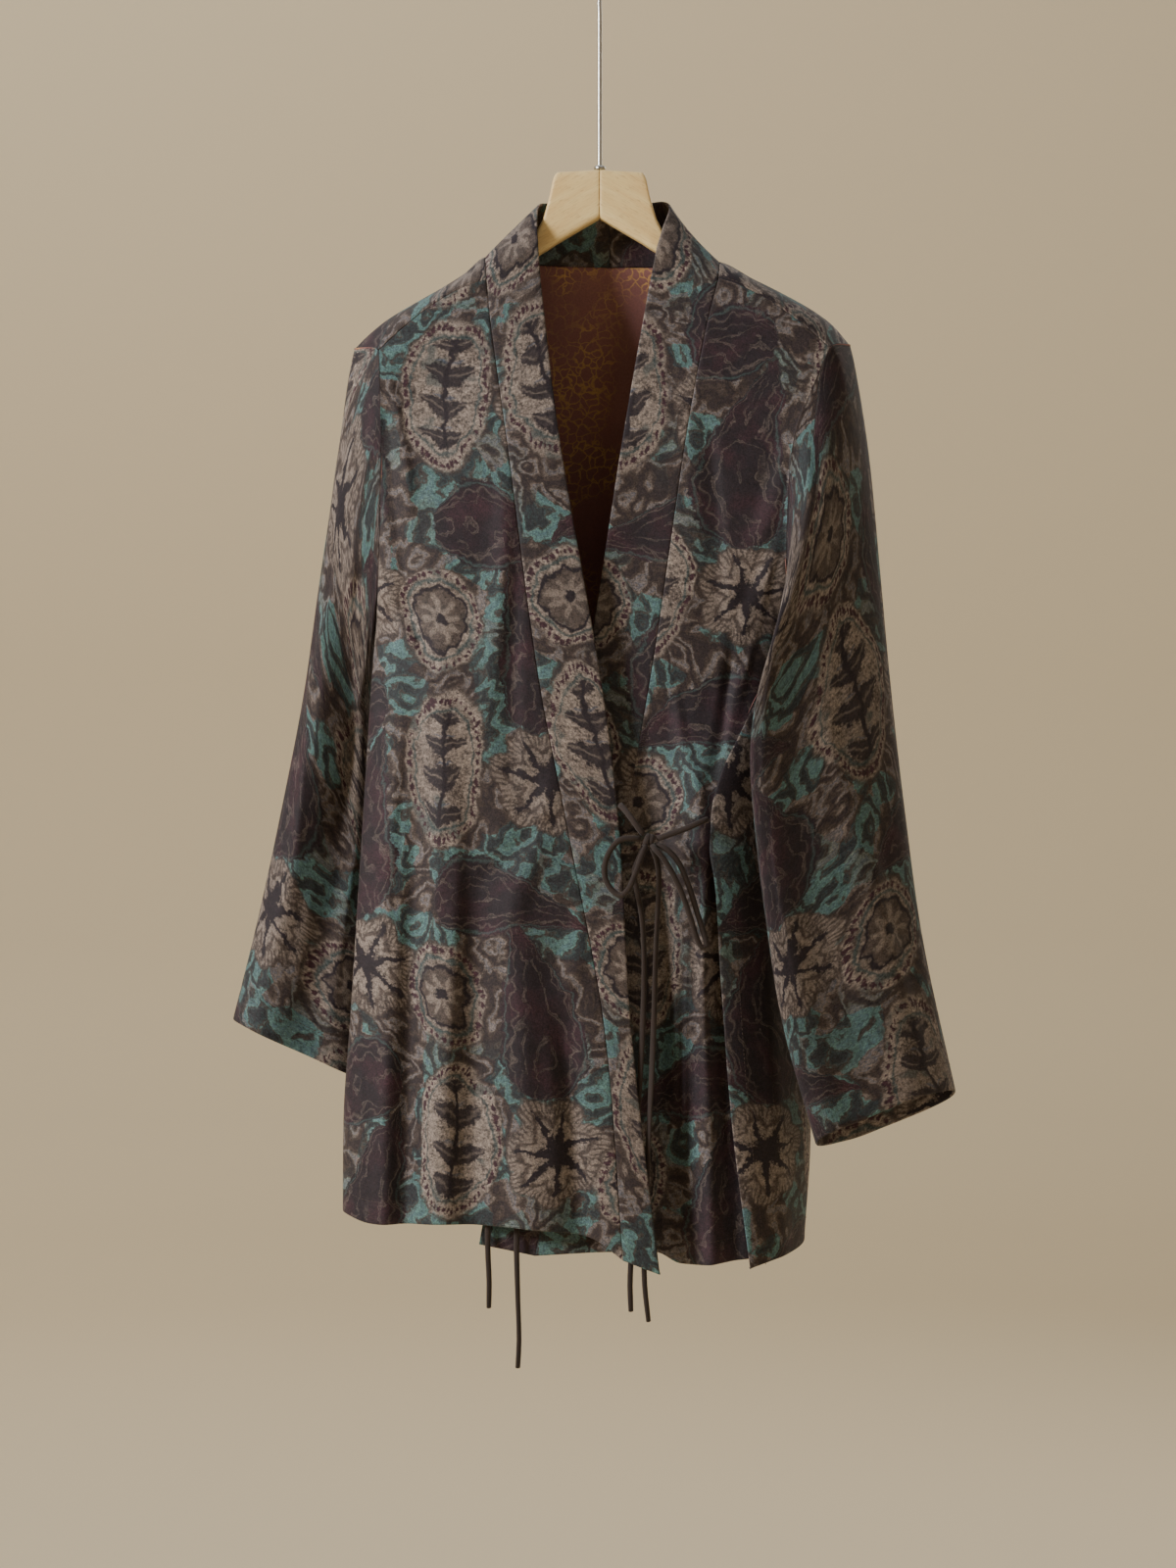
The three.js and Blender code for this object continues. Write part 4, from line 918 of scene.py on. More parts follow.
def sewn_cloth(name, sheets, thick=2 * CLOTH_THIN, finishes=(silk, reverse)):
    """A cloth wall on the inner side of its sheets, which share their edges' points.

    The sheets' last column is the share of the whole thickness at each point."""
    places, laid, walls, faces = [], [], [], []
    for sheet in sheets:
        rows, columns = sheet.shape[:2]
        first = sum(len(p) for p in places)
        corner = first + np.arange(rows * columns).reshape(rows, columns)
        a, b, d, e = corner[:-1, :-1], corner[:-1, 1:], corner[1:, :-1], corner[1:, 1:]
        faces.append(np.stack([a, d, e, b], axis=-1).reshape(-1, 4))
        places.append(rolled(sheet).reshape(-1, 3))
        laid.append(sheet[..., 3:5].reshape(-1, 2))
        walls.append(sheet[..., 6].ravel())
    faces = np.vstack(faces)
    mesh = bpy.data.meshes.new(name)
    mesh.from_pydata((np.vstack(places) * MM).tolist(), [], faces.tolist())
    spots = (np.vstack(laid) * MM)[faces.ravel()]
    mesh.uv_layers.new(name="cloth").data.foreach_set("uv", spots.ravel())
    mesh.shade_smooth()
    piece = placed(name, mesh, *finishes)
    group = piece.vertex_groups.new(name="wall")
    for index, wall in enumerate(np.concatenate(walls).tolist()):
        group.add([index], wall, "REPLACE")
    shell = bmesh.new()
    shell.from_mesh(mesh)
    bmesh.ops.remove_doubles(shell, verts=shell.verts, dist=2e-6)
    bmesh.ops.dissolve_degenerate(shell, edges=shell.edges, dist=5e-7)
    shell.to_mesh(mesh)
    shell.free()
    wall = piece.modifiers.new("wall", "SOLIDIFY")
    wall.thickness = thick * MM
    wall.offset = -1
    wall.vertex_group = "wall"
    wall.material_offset = 1
    wall.material_offset_rim = 0
    evaluated = piece.evaluated_get(bpy.context.evaluated_depsgraph_get())
    finished = bpy.data.meshes.new_from_object(evaluated)
    piece.modifiers.remove(wall)
    piece.data = finished
    finished.set_sharp_from_angle(angle=math.radians(60))
    return piece


panels = {}
for side in ("left", "right"):
    panels[side] = front_panel(side)
    finished_panel = panels[side]
    for edge in ("top", "left", "right", "bottom"):
        finished_panel = edged(finished_panel, edge)
    front_piece = sewn_cloth(f"silk_front_{side}", [finished_panel])
    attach(front_piece, "root")
    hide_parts(f"front_{side}")

# ---------------------------------------------------------------- back
# One wide piece of silk. It passes over both shoulders to the forward seams, and at the right it
# turns round the wearer's side to the side seam, which is open below the tie.

RIDGE = table(
    "x drop",
    (-195, 325), (-185, 315), (-169, 302), (-142, 286), (-111, 268), (-90, 252),
    (94, 256), (123, 270), (147, 282), (170, 295), (186, 307), (199, 322),
)
RIGHT_TURN = table(
    "drop x y",
    (545, 154, -8), (580, 154, 4), (640, 158, 13), (750, 163, 14), (866, 167, 12),
    (955, 169, 10), (1034, 164, 8),
)
NECK = {
    "left": table(
        "order seamX seamY seamDrop edgeX edgeY edgeDrop",
        (0, 8, 27, 258, 8, 25, 209), (1, -34, 26, 257, -24, 23, 208),
        (2, -68, 20, 255, -43, 15, 207), (3, -90, 0, 252, -49, -1, 211),
        (4, -91, -16, 261, -50, -15, 226), (5, -90, -22, 273, -49, -22, 244),
    ),
    "right": table(
        "order seamX seamY seamDrop edgeX edgeY edgeDrop",
        (0, 8, 27, 258, 8, 25, 209), (1, 46, 26, 258, 34, 23, 207),
        (2, 76, 19, 258, 52, 14, 206), (3, 94, 0, 256, 56, -1, 213),
        (4, 95, -16, 262, 50, -15, 231), (5, 94, -22, 272, 45, -22, 248),
    ),
}
BACK_CREASES = table(
    "x drop toX toDrop bow width height",
    (-176, 380, -120, 600, 8, 9, 3.0), (-160, 460, -140, 700, -6, 8, -2.7),
    (-60, 300, -40, 520, 5, 12, 2.2), (20, 300, 10, 560, -5, 12, 2.1),
    (160, 390, 110, 600, -8, 9, 3.0), (150, 500, 130, 720, 5, 8, -2.7),
    (-100, 640, -60, 900, 7, 9, 2.5), (-10, 600, 20, 860, -6, 9, -2.2),
    (60, 700, 40, 1000, 5, 8, 2.4), (-160, 800, -166, 1000, 3, 6, 2.2),
    (110, 800, 100, 1030, -4, 7, 2.4), (-130, 880, -110, 1018, 3, 6, -2.0),
    (0, 900, -10, 1022, 3, 7, 2.0), (80, 880, 88, 1030, 3, 6, -2.1),
)
SLIT_TOP = 702
SLIT_LAP = 5
SLIT_LIFT = 5.8
SHOULDER_ROUND = 22
NECK_ENDS = (0.27, 0.73)
HEM_LEFT, HEM_RIGHT = 1012, 1038
# Drop, x and y of the ends of the shoulder ridge, and the points along each ridge and the neck.
RIDGE_END = {"left": (325, -195, 0), "right": (322, 199, 0)}
RIDGE_POINTS = 34
NECK_POINTS = 60


def back_side(side, drop):
    """The back's side edge: the armhole, then the left side seam or the turn at the right."""
    hole = ARMHOLE[side]
    top = RIDGE_END[side]
    rows = {
        "drop": np.append(top[0], hole["drop"]),
        "x": np.append(top[1], hole["backX"]),
        "y": np.append(top[2], hole["backY"]),
    }
    below = SIDE["left"] if side == "left" else RIGHT_TURN
    above = drop < UNDERARM
    x = np.where(above, read(rows, "drop", "x", drop), read(below, "drop", "x", drop))
    y = np.where(above, read(rows, "drop", "y", drop), read(below, "drop", "y", drop))
    return x, y


def back_top(share):
    """The top line of the back: the left ridge, round the neck seam, and the right ridge."""
    left, right = NECK_ENDS
    x_left = mix(RIDGE_END["left"][1], -90, np.clip(share / left, 0, 1))
    x_right = mix(94, RIDGE_END["right"][1], np.clip((share - right) / (1 - right), 0, 1))
    order = np.abs(share - 0.5) / (0.5 - left) * 3
    neck = []
    for column in ("seamX", "seamY", "seamDrop"):
        sides = [read(NECK[side], "order", column, order) for side in ("left", "right")]
        neck.append(np.where(share < 0.5, *sides))
    places = (share <= left, share >= right)
    ridges = [read(RIDGE, "x", "drop", x) for x in (x_left, x_right)]
    x = np.select(places, (x_left, x_right), neck[0])
    y = np.select(places, (0, 0), neck[1])
    return x, y, np.select(places, ridges, neck[2])


def back_main():
    down = np.linspace(0, 1, 130)[:, None] ** 1.55
    left, right = NECK_ENDS
    share = np.concatenate([
        np.linspace(0, left, RIDGE_POINTS),
        np.linspace(left, right, NECK_POINTS)[1:-1],
        np.linspace(right, 1, RIDGE_POINTS),
    ])
    across = share[None, :]
    top_x, top_y, top_drop = back_top(across)
    hem = read(HEM["back"], "across", "drop", across)
    drop = mix(top_drop, hem, down)
    left_x, left_y = back_side("left", mix(RIDGE_END["left"][0], HEM_LEFT, down))
    right_x, right_y = back_side("right", mix(RIDGE_END["right"][0], HEM_RIGHT, down))
    spread = mix(across, (1 - np.cos(across * math.pi)) / 2, 0.6)
    x = mix(top_x, mix(left_x, right_x, spread), ease(down, 0, 0.3))
    deep = read(DEPTH, "drop", "back", drop)
    middle = np.abs(2 * spread - 1)
    edge = np.where(spread < 0.5, left_y, right_y)
    power = mix(3, 1.9, ease(drop, 520, 640))
    fold = fold_height(FOLDS["back"], x, drop, hem) * (1 - middle**6)
    fold = fold + crease_height(BACK_CREASES, x, drop) * (1 - middle**8)
    to_hem = (hem - drop) + 0 * x
    fold = fold - hem_dent(to_hem, HEM_DEEP)
    section = mix(deep, edge, rounded(middle, power)) + fold
    fallen = np.clip((drop - top_drop) / SHOULDER_ROUND, 0, 1)
    over = np.sqrt(1 - (1 - fallen) ** 2)
    grid = point(x, mix(top_y, section, over), drop)
    laid = laid_out(grid)
    middle_column = RIDGE_POINTS + NECK_POINTS // 2 - 1
    laid = laid - laid[:, [middle_column]]
    return np.dstack([grid, laid, grid[..., 2], 0 * x, layers(to_hem, HEM_DEEP)])


def shoulder_strip(side, ridge):
    """From the ridge over the front of the shoulder to the forward seam."""
    steps = 11
    turn = np.linspace(0, 1, steps)[:, None] * math.pi / 2
    order = 3 + 2 * np.linspace(0, 1, steps)[:, None]
    neck = [read(NECK[side], "order", c, order) for c in ("seamX", "seamY", "seamDrop")]
    share = np.linspace(0, 1, len(ridge))[None, :]
    seam = forward_seam(side, 1 - share)
    near = share**6
    top = ridge[None, :, :3]
    x = mix(mix(top[..., 0], seam[..., 0], np.sin(turn)), neck[0], near)
    y = mix(mix(top[..., 1], seam[..., 1], np.sin(turn)), neck[1], near)
    drop = mix(mix(-top[..., 2], -seam[..., 2], 1 - np.cos(turn)), neck[2], near)
    grid = point(x, y, drop)
    grid[0] = ridge[:, :3]
    beyond = np.linalg.norm(np.diff(grid, axis=0), axis=-1)
    beyond = np.concatenate([np.zeros((1, len(ridge))), np.cumsum(beyond, axis=0)])
    laid = ridge[None, :, 3] + 0 * beyond
    sheet = np.dstack([grid, laid, ridge[None, :, 4] + beyond, 0 * x, ONE_LAYER + 0 * x])
    return sheet if side == "left" else sheet[:, ::-1]


def right_wrap(main):
    """From the turn at the right, forward to the side seam, which laps a little below the tie."""
    turned = main[:, -1]
    turned = turned[-turned[:, 2] >= UNDERARM][:, None]
    drop = -turned[..., 2]
    share = (drop - UNDERARM) / (HEM_RIGHT - UNDERARM)
    seam_hem = SIDE["right"]["drop"][-1]
    seam_drop = mix(UNDERARM, seam_hem, share)
    seam = front_side("right", seam_drop)
    slit = ease(seam_drop, SLIT_TOP, SLIT_TOP + 30)
    steps = np.linspace(0, 1, 26)[None, :]
    angle = steps * math.pi / 2
    inward = 1 - np.cos(angle) ** 1.35
    x = mix(turned[..., 0], mix(seam[..., 0], seam[..., 0] - SLIT_LAP, slit), inward)
    y = mix(turned[..., 1], seam[..., 1] - SLIT_LIFT * slit, np.sin(angle) ** 1.5)
    hem_drop = mix(drop, seam_drop, steps)
    swell = 2.2 * np.sin(share * 3.1 + 0.3) * np.sin(math.pi * steps) ** 2 * ease(share, 0.02, 0.2)
    rib = 2.8 * np.exp(-(((steps - 0.62 + 0.1 * share) / 0.09) ** 2)) * ease(share, 0.35, 0.6)
    y = y - swell - rib * (1 - steps**8)
    grid = point(x, y, hem_drop)
    laid = laid_out(grid) + turned[..., 3]
    hem_wall = layers(mix(HEM_RIGHT, seam_hem, steps) - hem_drop, HEM_DEEP)
    sheet = np.dstack([grid, laid, grid[..., 2], 0 * x, hem_wall + 0 * x])
    return sheet[:, ::-1]


back_sheet = back_main()
strips = {
    "left": shoulder_strip("left", back_sheet[0, :RIDGE_POINTS]),
    "right": shoulder_strip("right", back_sheet[0, -RIDGE_POINTS:][::-1]),
}
wrap_sheet = right_wrap(back_sheet)
wrap_edged = edged(edged(wrap_sheet, "left"), "bottom")
back_faces_out = edged(back_sheet, "bottom")[:, ::-1]
back_piece = sewn_cloth(
    "silk_back",
    [back_faces_out, edged(strips["left"], "bottom"), edged(strips["right"], "bottom"), wrap_edged],
)
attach(back_piece, "root")
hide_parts("back")

# ---------------------------------------------------------------- sleeves
# Wide straight sleeves, each one piece sewn to the armhole, open at the cuff, with a turned hem.

SLEEVE = {
    "left": table(
        "down outX outY outDrop inX inY inDrop deep lean skew",
        (0, -195, 0, 325, -178, -6, 545, 33, 0, 0), (0.12, -204, 0, 366, -181, 14, 578, 34, 0, -3),
        (0.25, -212, 6, 437, -180, 34, 612, 33, 0, -5), (0.4, -224, 13, 515, -177, 46, 655, 31, 0, -5),
        (0.55, -237, 20, 600, -176, 52, 706, 29, 0, -4), (0.7, -255, 27, 690, -178, 55, 768, 28, 0, -3),
        (0.85, -275, 33, 780, -183, 56, 842, 28, 0, -2), (1, -296, 36, 863, -188, 56, 914, 29, 0, 0),
    ),
    "right": table(
        "down outX outY outDrop inX inY inDrop deep lean skew",
        (0, 199, 0, 322, 154, -8, 545, 34, 0, 0), (0.12, 208, -1, 360, 142, -46, 574, 33, 0, 10),
        (0.25, 215, -2, 432, 127, -66, 606, 28, 1, 14), (0.4, 223, -5, 515, 119, -76, 650, 23, 2, 12),
        (0.55, 232, -9, 604, 121, -79, 706, 21, 3, 8), (0.7, 243, -14, 700, 129, -81, 776, 21, 4, 6),
        (0.85, 257, -20, 800, 142, -83, 860, 22, 6, 4), (1, 282, -26, 917, 168, -78, 954, 24, 8, 2),
    ),
}
# The sleeves' folds: the turn round the section at top and cuff (0 outer edge, 90 front).
SLEEVE_FOLDS = {
    "left": table(
        "start topTurn cuffTurn width depth",
        (0.25, 70, 55, 16, 4), (0.15, 110, 95, 15, -5), (0.3, 280, 270, 20, 5),
    ),
    "right": table(
        "start topTurn cuffTurn width depth",
        (0.1, 95, 110, 16, -4), (0.35, 60, 65, 16, 4), (0.3, 260, 250, 18, 4),
    ),
}
# The sleeves' creases, from one turn and share of the way down to another.
SLEEVE_CREASES = {
    "left": table(
        "x drop toX toDrop bow width height",
        (60, 20, 96, 260, 6, 9, 2.2), (120, 60, 80, 330, -6, 9, 2.4), (30, 120, 60, 420, 5, 8, -2.0),
        (140, 160, 100, 430, 6, 8, 2.2), (70, 330, 40, 620, -6, 9, 2.1), (110, 420, 90, 700, 5, 8, -2.2),
        (40, 520, 70, 860, 6, 9, 2.0), (120, 640, 110, 980, -5, 8, 2.1), (84, 760, 74, 990, 4, 7, 1.8),
        (230, 80, 270, 380, 7, 11, 2.7), (300, 300, 260, 700, -7, 11, -2.4),
        (250, 620, 280, 960, 6, 10, 2.4),
    ),
    "right": table(
        "x drop toX toDrop bow width height",
        (70, 20, 100, 240, -6, 9, 2.2), (40, 60, 80, 330, 6, 9, 2.0), (130, 100, 90, 420, -6, 8, -2.1),
        (110, 260, 130, 560, 6, 8, 2.2), (50, 330, 70, 640, 5, 9, -2.0), (90, 460, 70, 800, -5, 9, 2.1),
        (130, 560, 120, 900, 5, 8, 2.0), (60, 680, 50, 990, 4, 8, 2.0), (100, 800, 96, 990, -3, 6, -1.8),
        (230, 100, 260, 420, 7, 11, 2.5), (290, 340, 250, 760, -7, 11, -2.4),
        (240, 640, 280, 980, 6, 10, 2.2),
    ),
}
CUFF_DEEP = 22
SLEEVE_BLUNT = 0.85
SLEEVE_SETTLED = 0.24
SLEEVE_COLUMNS = 121


def even_loop(points, count):
    """A closed line's points, spaced evenly along it. The last repeats the first."""
    closed = np.vstack([points, points[:1]])
    along = so_far(closed)
    even = np.linspace(0, along[-1], count)
    return np.column_stack([np.interp(even, along, closed[:, i]) for i in range(3)])


def armhole_line(side):
    """Down the front from the ridge to the underarm and up the back."""
    end = 0 if side == "left" else -1
    front = panels[side][:, end, :3]
    strip = strips[side][:, end, :3]
    behind = back_sheet[:, 0 if side == "left" else -1, :3][::-1]
    underarm = front_side(side, np.array(float(UNDERARM)))
    front = front[-front[:, 2] < UNDERARM - 8]
    behind = behind[-behind[:, 2] < UNDERARM - 8]
    return np.vstack([strip, front, underarm, behind])


def sleeve_sheet(side):
    out = -1 if side == "left" else 1
    line = even_loop(armhole_line(side), SLEEVE_COLUMNS)[None]
    share = np.linspace(0, 1, SLEEVE_COLUMNS)[None, :]
    angle = share * 2 * math.pi
    down = np.linspace(0, 1, 130)[:, None] ** 1.15
    at = lambda column: read(SLEEVE[side], "down", column, down)
    outer = point(at("outX"), at("outY"), at("outDrop"))
    inner = point(at("inX"), at("inY"), at("inDrop"))
    centre = (outer + inner) / 2
    half = outer - centre
    deep = np.stack([-out * at("skew"), -at("deep"), at("lean")], axis=-1)
    lobe = lambda value: (np.sign(value) * np.abs(value) ** SLEEVE_BLUNT)[..., None]
    degrees = np.degrees(angle)
    fold = 0
    for start, top, cuff, width, depth in zip(*SLEEVE_FOLDS[side].values()):
        off = (degrees - mix(top, cuff, down)) / width
        fold = fold + depth * ease(down, start, start + 0.3) * np.exp(-(off**2))
    shape = centre + half * lobe(np.cos(angle))
    shape = shape + deep * lobe(np.sin(angle)) * (1 + fold / at("deep"))[..., None]
    crease = crease_height(SLEEVE_CREASES[side], degrees, down * 1000)
    girth = np.linalg.norm(np.diff(shape, axis=1), axis=-1).sum(axis=1)[:, None]
    length = so_far(centre[:, 0])
    to_cuff = (length[-1] - length)[:, None]
    crease = crease - hem_dent(to_cuff, CUFF_DEEP)
    way = unit(shape - centre)
    shape = shape + way * crease[..., None]
    sewn = line + np.array([out * 0.3, 0, 0]) + down[..., None] * np.array([out * 6.0, 0, 0])
    settled = ease(down, 0, SLEEVE_SETTLED)[..., None]
    grid = sewn * (1 - settled) + shape * settled
    grid[:, -1] = grid[:, 0]
    across = (share - 0.25) * girth * -out
    along = -length[:, None] + 0 * across - 300
    wall = layers(to_cuff, CUFF_DEEP) + 0 * across
    sheet = np.dstack([grid, across, along, 0 * across, wall])
    return sheet if side == "left" else sheet[:, ::-1]


def turned_in(piece, deep):
    """The turned-up hem shows the printed side of the silk inside."""
    mesh = piece.data
    spots = np.empty(len(mesh.loops) * 2)
    mesh.uv_layers["cloth"].data.foreach_get("uv", spots)
    fall = spots[1::2]
    hem = fall.min() + deep * MM
    for face in mesh.polygons:
        if fall[face.loop_start] < hem:
            face.material_index = 0


sleeves = {}
for side in ("left", "right"):
    sleeves[side] = sleeve_sheet(side)
    sleeve = edged(edged(sleeves[side], "top", 3.2, 1.3), "bottom")
    sleeve_piece = sewn_cloth(f"silk_sleeve_{side}", [sleeve])
    turned_in(sleeve_piece, CUFF_DEEP)
    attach(sleeve_piece, "root")
    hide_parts(f"sleeve_{side}")

# ---------------------------------------------------------------- collar band
# One long doubled strip of the same silk, folded at its free edge. It stands up round the neck,
# lies flat down both fronts, and is joined at the middle of the back.

BAND_THIN = 2.0


def band_sheet(side):
    order = np.linspace(0, 5, 46)[:-1]
    at = lambda column: read(NECK[side], "order", column, order)
    seam = point(at("seamX"), at("seamY"), at("seamDrop"))
    edge = point(at("edgeX"), at("edgeY"), at("edgeDrop"))
    down = np.linspace(0, 1, 170) ** 1.08
    seam = np.vstack([seam, lapel_line(side, "seam", down)])[:, None]
    edge = np.vstack([edge, lapel_line(side, "edge", down)])[:, None]
    share = np.linspace(0, 1, 15)[None, :, None]
    grid = mix(seam, edge, share)
    along = so_far(grid[:, 7])
    wide = np.linalg.norm(edge - seam, axis=-1)
    flat = share[..., 0]
    ripple = 0.5 * np.sin(along * 0.043 + 1.1) + 0.35 * np.sin(along * 0.097)
    crown = (0.9 + 0.5 * ripple[:, None]) * np.sin(math.pi * flat) ** 0.8
    facing = unit(np.cross(np.gradient(grid, axis=0), np.gradient(grid, axis=1)))
    grid = grid + facing * crown[..., None]
    across = flat * wide * (1 if side == "left" else -1) + (0 if side == "left" else 90)
    sheet = np.dstack([grid, across, -along[:, None] + 0 * across, 0 * across, 1 + 0 * across])
    return sheet if side == "left" else sheet[:, ::-1]


for side in ("left", "right"):
    band = band_sheet(side)
    free, sewn_edge = ("right", "left") if side == "left" else ("left", "right")
    band = edged(edged(edged(band, free, 2.2, 0.95), sewn_edge), "bottom", 2.2, 0.9)
    band = edged(band, "top", 1.6, 0.5)
    band_piece = sewn_cloth(f"silk_collar_band_{side}", [band], BAND_THIN, (silk, silk))
    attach(band_piece, "root")
    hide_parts(f"collar_band_{side}")

# ---------------------------------------------------------------- stitching
# The hems, cuffs and shoulder seams are sewn down by machine with brown thread. The stitches are
# set along lines on the cloth's outer face, a little unevenly, as a domestic machine leaves them.

STITCH_PITCH = 3.3
STITCH_LONG = 2.5
STITCH_WIDE = 0.55
# How far in from their edges the slit and the shoulder seams are stitched.
SLIT_STITCHED = 15
SHOULDER_STITCHED = 2.2

thread = Finish("brown sewing thread")
thread_place = thread.node("ShaderNodeTexCoord", {}, {}, 3)
thread_shade = thread.noise(thread_place, 900, 2)
thread_tint = thread.mixed(colour("2b211d"), colour("5a4a40"), thread_shade)
thread_bump = thread.bump(thread_shade, 0.0002, 0.4)
thread.gives(Base_Color=thread_tint, Roughness=0.55 + 0.2 * thread_shade, Normal=thread_bump)


def stitch_nodes():
    """Geometry Nodes that turn edges into rows of small long stitches."""
    group = bpy.data.node_groups.new("row of stitches", "GeometryNodeTree")
    sockets = {}
    for name, kind in (
        ("Line", "Geometry"), ("Pitch", "Float"), ("Size", "Vector"), ("Thread", "Material"),
    ):
        sockets[name] = group.interface.new_socket(
            name, in_out="INPUT", socket_type=f"NodeSocket{kind}"
        )
    group.interface.new_socket("Stitches", in_out="OUTPUT", socket_type="NodeSocketGeometry")

    def step(kind, settings=None, **inputs):
        node = group.nodes.new(kind)
        for name, setting in (settings or {}).items():
            setattr(node, name, setting)
        for name, value in inputs.items():
            entry = node.inputs[name.replace("_", " ")]
            if isinstance(value, bpy.types.NodeSocket):
                group.links.new(value, entry)
            else:
                entry.default_value = value
        return node.outputs

    given = step("NodeGroupInput")
    curve = step("GeometryNodeMeshToCurve", Mesh=given["Line"])["Curve"]
    even = step("GeometryNodeResampleCurve", {"mode": "LENGTH"}, Curve=curve, Length=given["Pitch"])
    ahead = step("GeometryNodeInputTangent")["Tangent"]
    turn = step("FunctionNodeAlignRotationToVector", {"axis": "Z"}, Vector=ahead)["Rotation"]
    uneven = step(
        "FunctionNodeRandomValue", {"data_type": "FLOAT_VECTOR"},
        Min=(0.85, 0.85, 0.84), Max=(1.1, 1.1, 1.06), Seed=11,
    )["Value"]
    size = group.nodes.new("ShaderNodeVectorMath")
    size.operation = "MULTIPLY"
    group.links.new(uneven, size.inputs[0])
    group.links.new(given["Size"], size.inputs[1])
    bead = step("GeometryNodeMeshUVSphere", Segments=6, Rings=4, Radius=0.5)["Mesh"]
    round_bead = step("GeometryNodeSetShadeSmooth", Geometry=bead)["Geometry"]
    sewn = step(
        "GeometryNodeInstanceOnPoints",
        Points=even["Curve"], Instance=round_bead, Rotation=turn, Scale=size.outputs[0],
    )["Instances"]
    real = step("GeometryNodeRealizeInstances", Geometry=sewn)["Geometry"]
    done = step("GeometryNodeSetMaterial", Geometry=real, Material=given["Thread"])["Geometry"]
    step("NodeGroupOutput", Stitches=done)
    return group, sockets


def line_inside(sheet, edge, inward):
    """The line on a sheet that lies that far in from one of its edges."""
    turned = {
        "bottom": sheet,
        "top": sheet[::-1],
        "right": sheet.transpose(1, 0, 2),
        "left": sheet[:, ::-1].transpose(1, 0, 2),
    }[edge][..., :3]
    steps = np.linalg.norm(np.diff(turned, axis=0), axis=-1)
    left = np.concatenate([np.cumsum(steps[::-1], axis=0)[::-1], 0 * steps[:1]])
    line = [
        [np.interp(-inward, -left[:, c], turned[:, c, i]) for i in range(3)]
        for c in range(turned.shape[1])
    ]
    return np.array(line)


slit_line = line_inside(wrap_sheet, "left", SLIT_STITCHED)
stitch_lines = [
    line_inside(panels["left"], "bottom", HEM_DEEP)[3:-3],
    line_inside(panels["right"], "bottom", HEM_DEEP)[3:-3],
    line_inside(back_sheet, "bottom", HEM_DEEP),
    line_inside(wrap_sheet, "bottom", HEM_DEEP)[2:],
    line_inside(sleeves["left"], "bottom", CUFF_DEEP),
    line_inside(sleeves["right"], "bottom", CUFF_DEEP),
    line_inside(strips["left"], "bottom", SHOULDER_STITCHED)[2:-2],
    line_inside(strips["right"], "bottom", SHOULDER_STITCHED)[2:-2],
    slit_line[-slit_line[:, 2] > SLIT_TOP + 70],
]
stitch_mesh = bpy.data.meshes.new("stitch lines")
stitch_edges = []
stitch_spots = []
for stitch_line in stitch_lines:
    first = len(stitch_spots)
    stitch_spots.extend((stitch_line * MM).tolist())
    stitch_edges.extend((first + i, first + i + 1) for i in range(len(stitch_line) - 1))
stitch_mesh.from_pydata(stitch_spots, stitch_edges, [])
stitches = placed("silk_stitching", stitch_mesh)
stitch_group, stitch_sockets = stitch_nodes()
sewing = stitches.modifiers.new("sewing", "NODES")
sewing.node_group = stitch_group
sewing[stitch_sockets["Pitch"].identifier] = STITCH_PITCH * MM
sewing[stitch_sockets["Size"].identifier] = (STITCH_WIDE * MM, STITCH_WIDE * MM, STITCH_LONG * MM)
sewing[stitch_sockets["Thread"].identifier] = thread.material
stitches_made = stitches.evaluated_get(bpy.context.evaluated_depsgraph_get())
sewn_mesh = bpy.data.meshes.new_from_object(stitches_made)
stitches.modifiers.remove(sewing)
stitches.data = sewn_mesh
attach(stitches, "root")

# ---------------------------------------------------------------- hanger
# Two halves of pale beech, mitred and glued in the middle, each shaped from a tall flat head to a
# thick rounded arm that carries the shoulder. Smoothly sanded, with a thin clear lacquer.

HANGER = table(
    "out top bottom thick blunt",
    (0, 183, 222, 17, 0.36), (34, 185, 242, 17, 0.36), (37, 189, 244, 17, 0.36),
    (40, 204, 246, 17, 0.36), (45, 222, 249, 17, 0.4), (51, 233, 253, 17.5, 0.5),
    (70, 248, 268, 19, 0.85),
)
HANGER_ARM = table(
    "out under height thick blunt",
    (98, 4.6, 21, 21, 0.85), (118, 4.6, 21, 23, 0.85), (140, 4.6, 21, 24, 0.85),
    (160, 4.6, 21, 24, 0.85), (170, 5.6, 19, 22, 0.85), (174, 8, 12, 14, 0.85),
)
MITRE_GAP = 0.15
HANGER_END = 174
HANGER_SHRINK = table(
    "out share", (MITRE_GAP, 0.93), (0.45, 0.98), (1.0, 1), (172, 1), (173.4, 0.9), (174, 0.7)
)
HANGER_SIDES = 52
EDGE_SANDED = 0.9

beech = Finish("pale beech")
beech_place = beech.node("ShaderNodeTexCoord", {}, {}, 3)
beech_x, beech_y, beech_z = beech.parts(beech_place)
beech_along = abs(beech_x) * 0.87 - beech_z * 0.49
beech_across = abs(beech_x) * 0.49 + beech_z * 0.87


def beech_stretched(along, across):
    """The place in the wood, drawn out along its grain."""
    inputs = {0: beech_along * along, 1: beech_y * across, 2: beech_across * across}
    return beech.node("ShaderNodeCombineXYZ", {}, inputs)


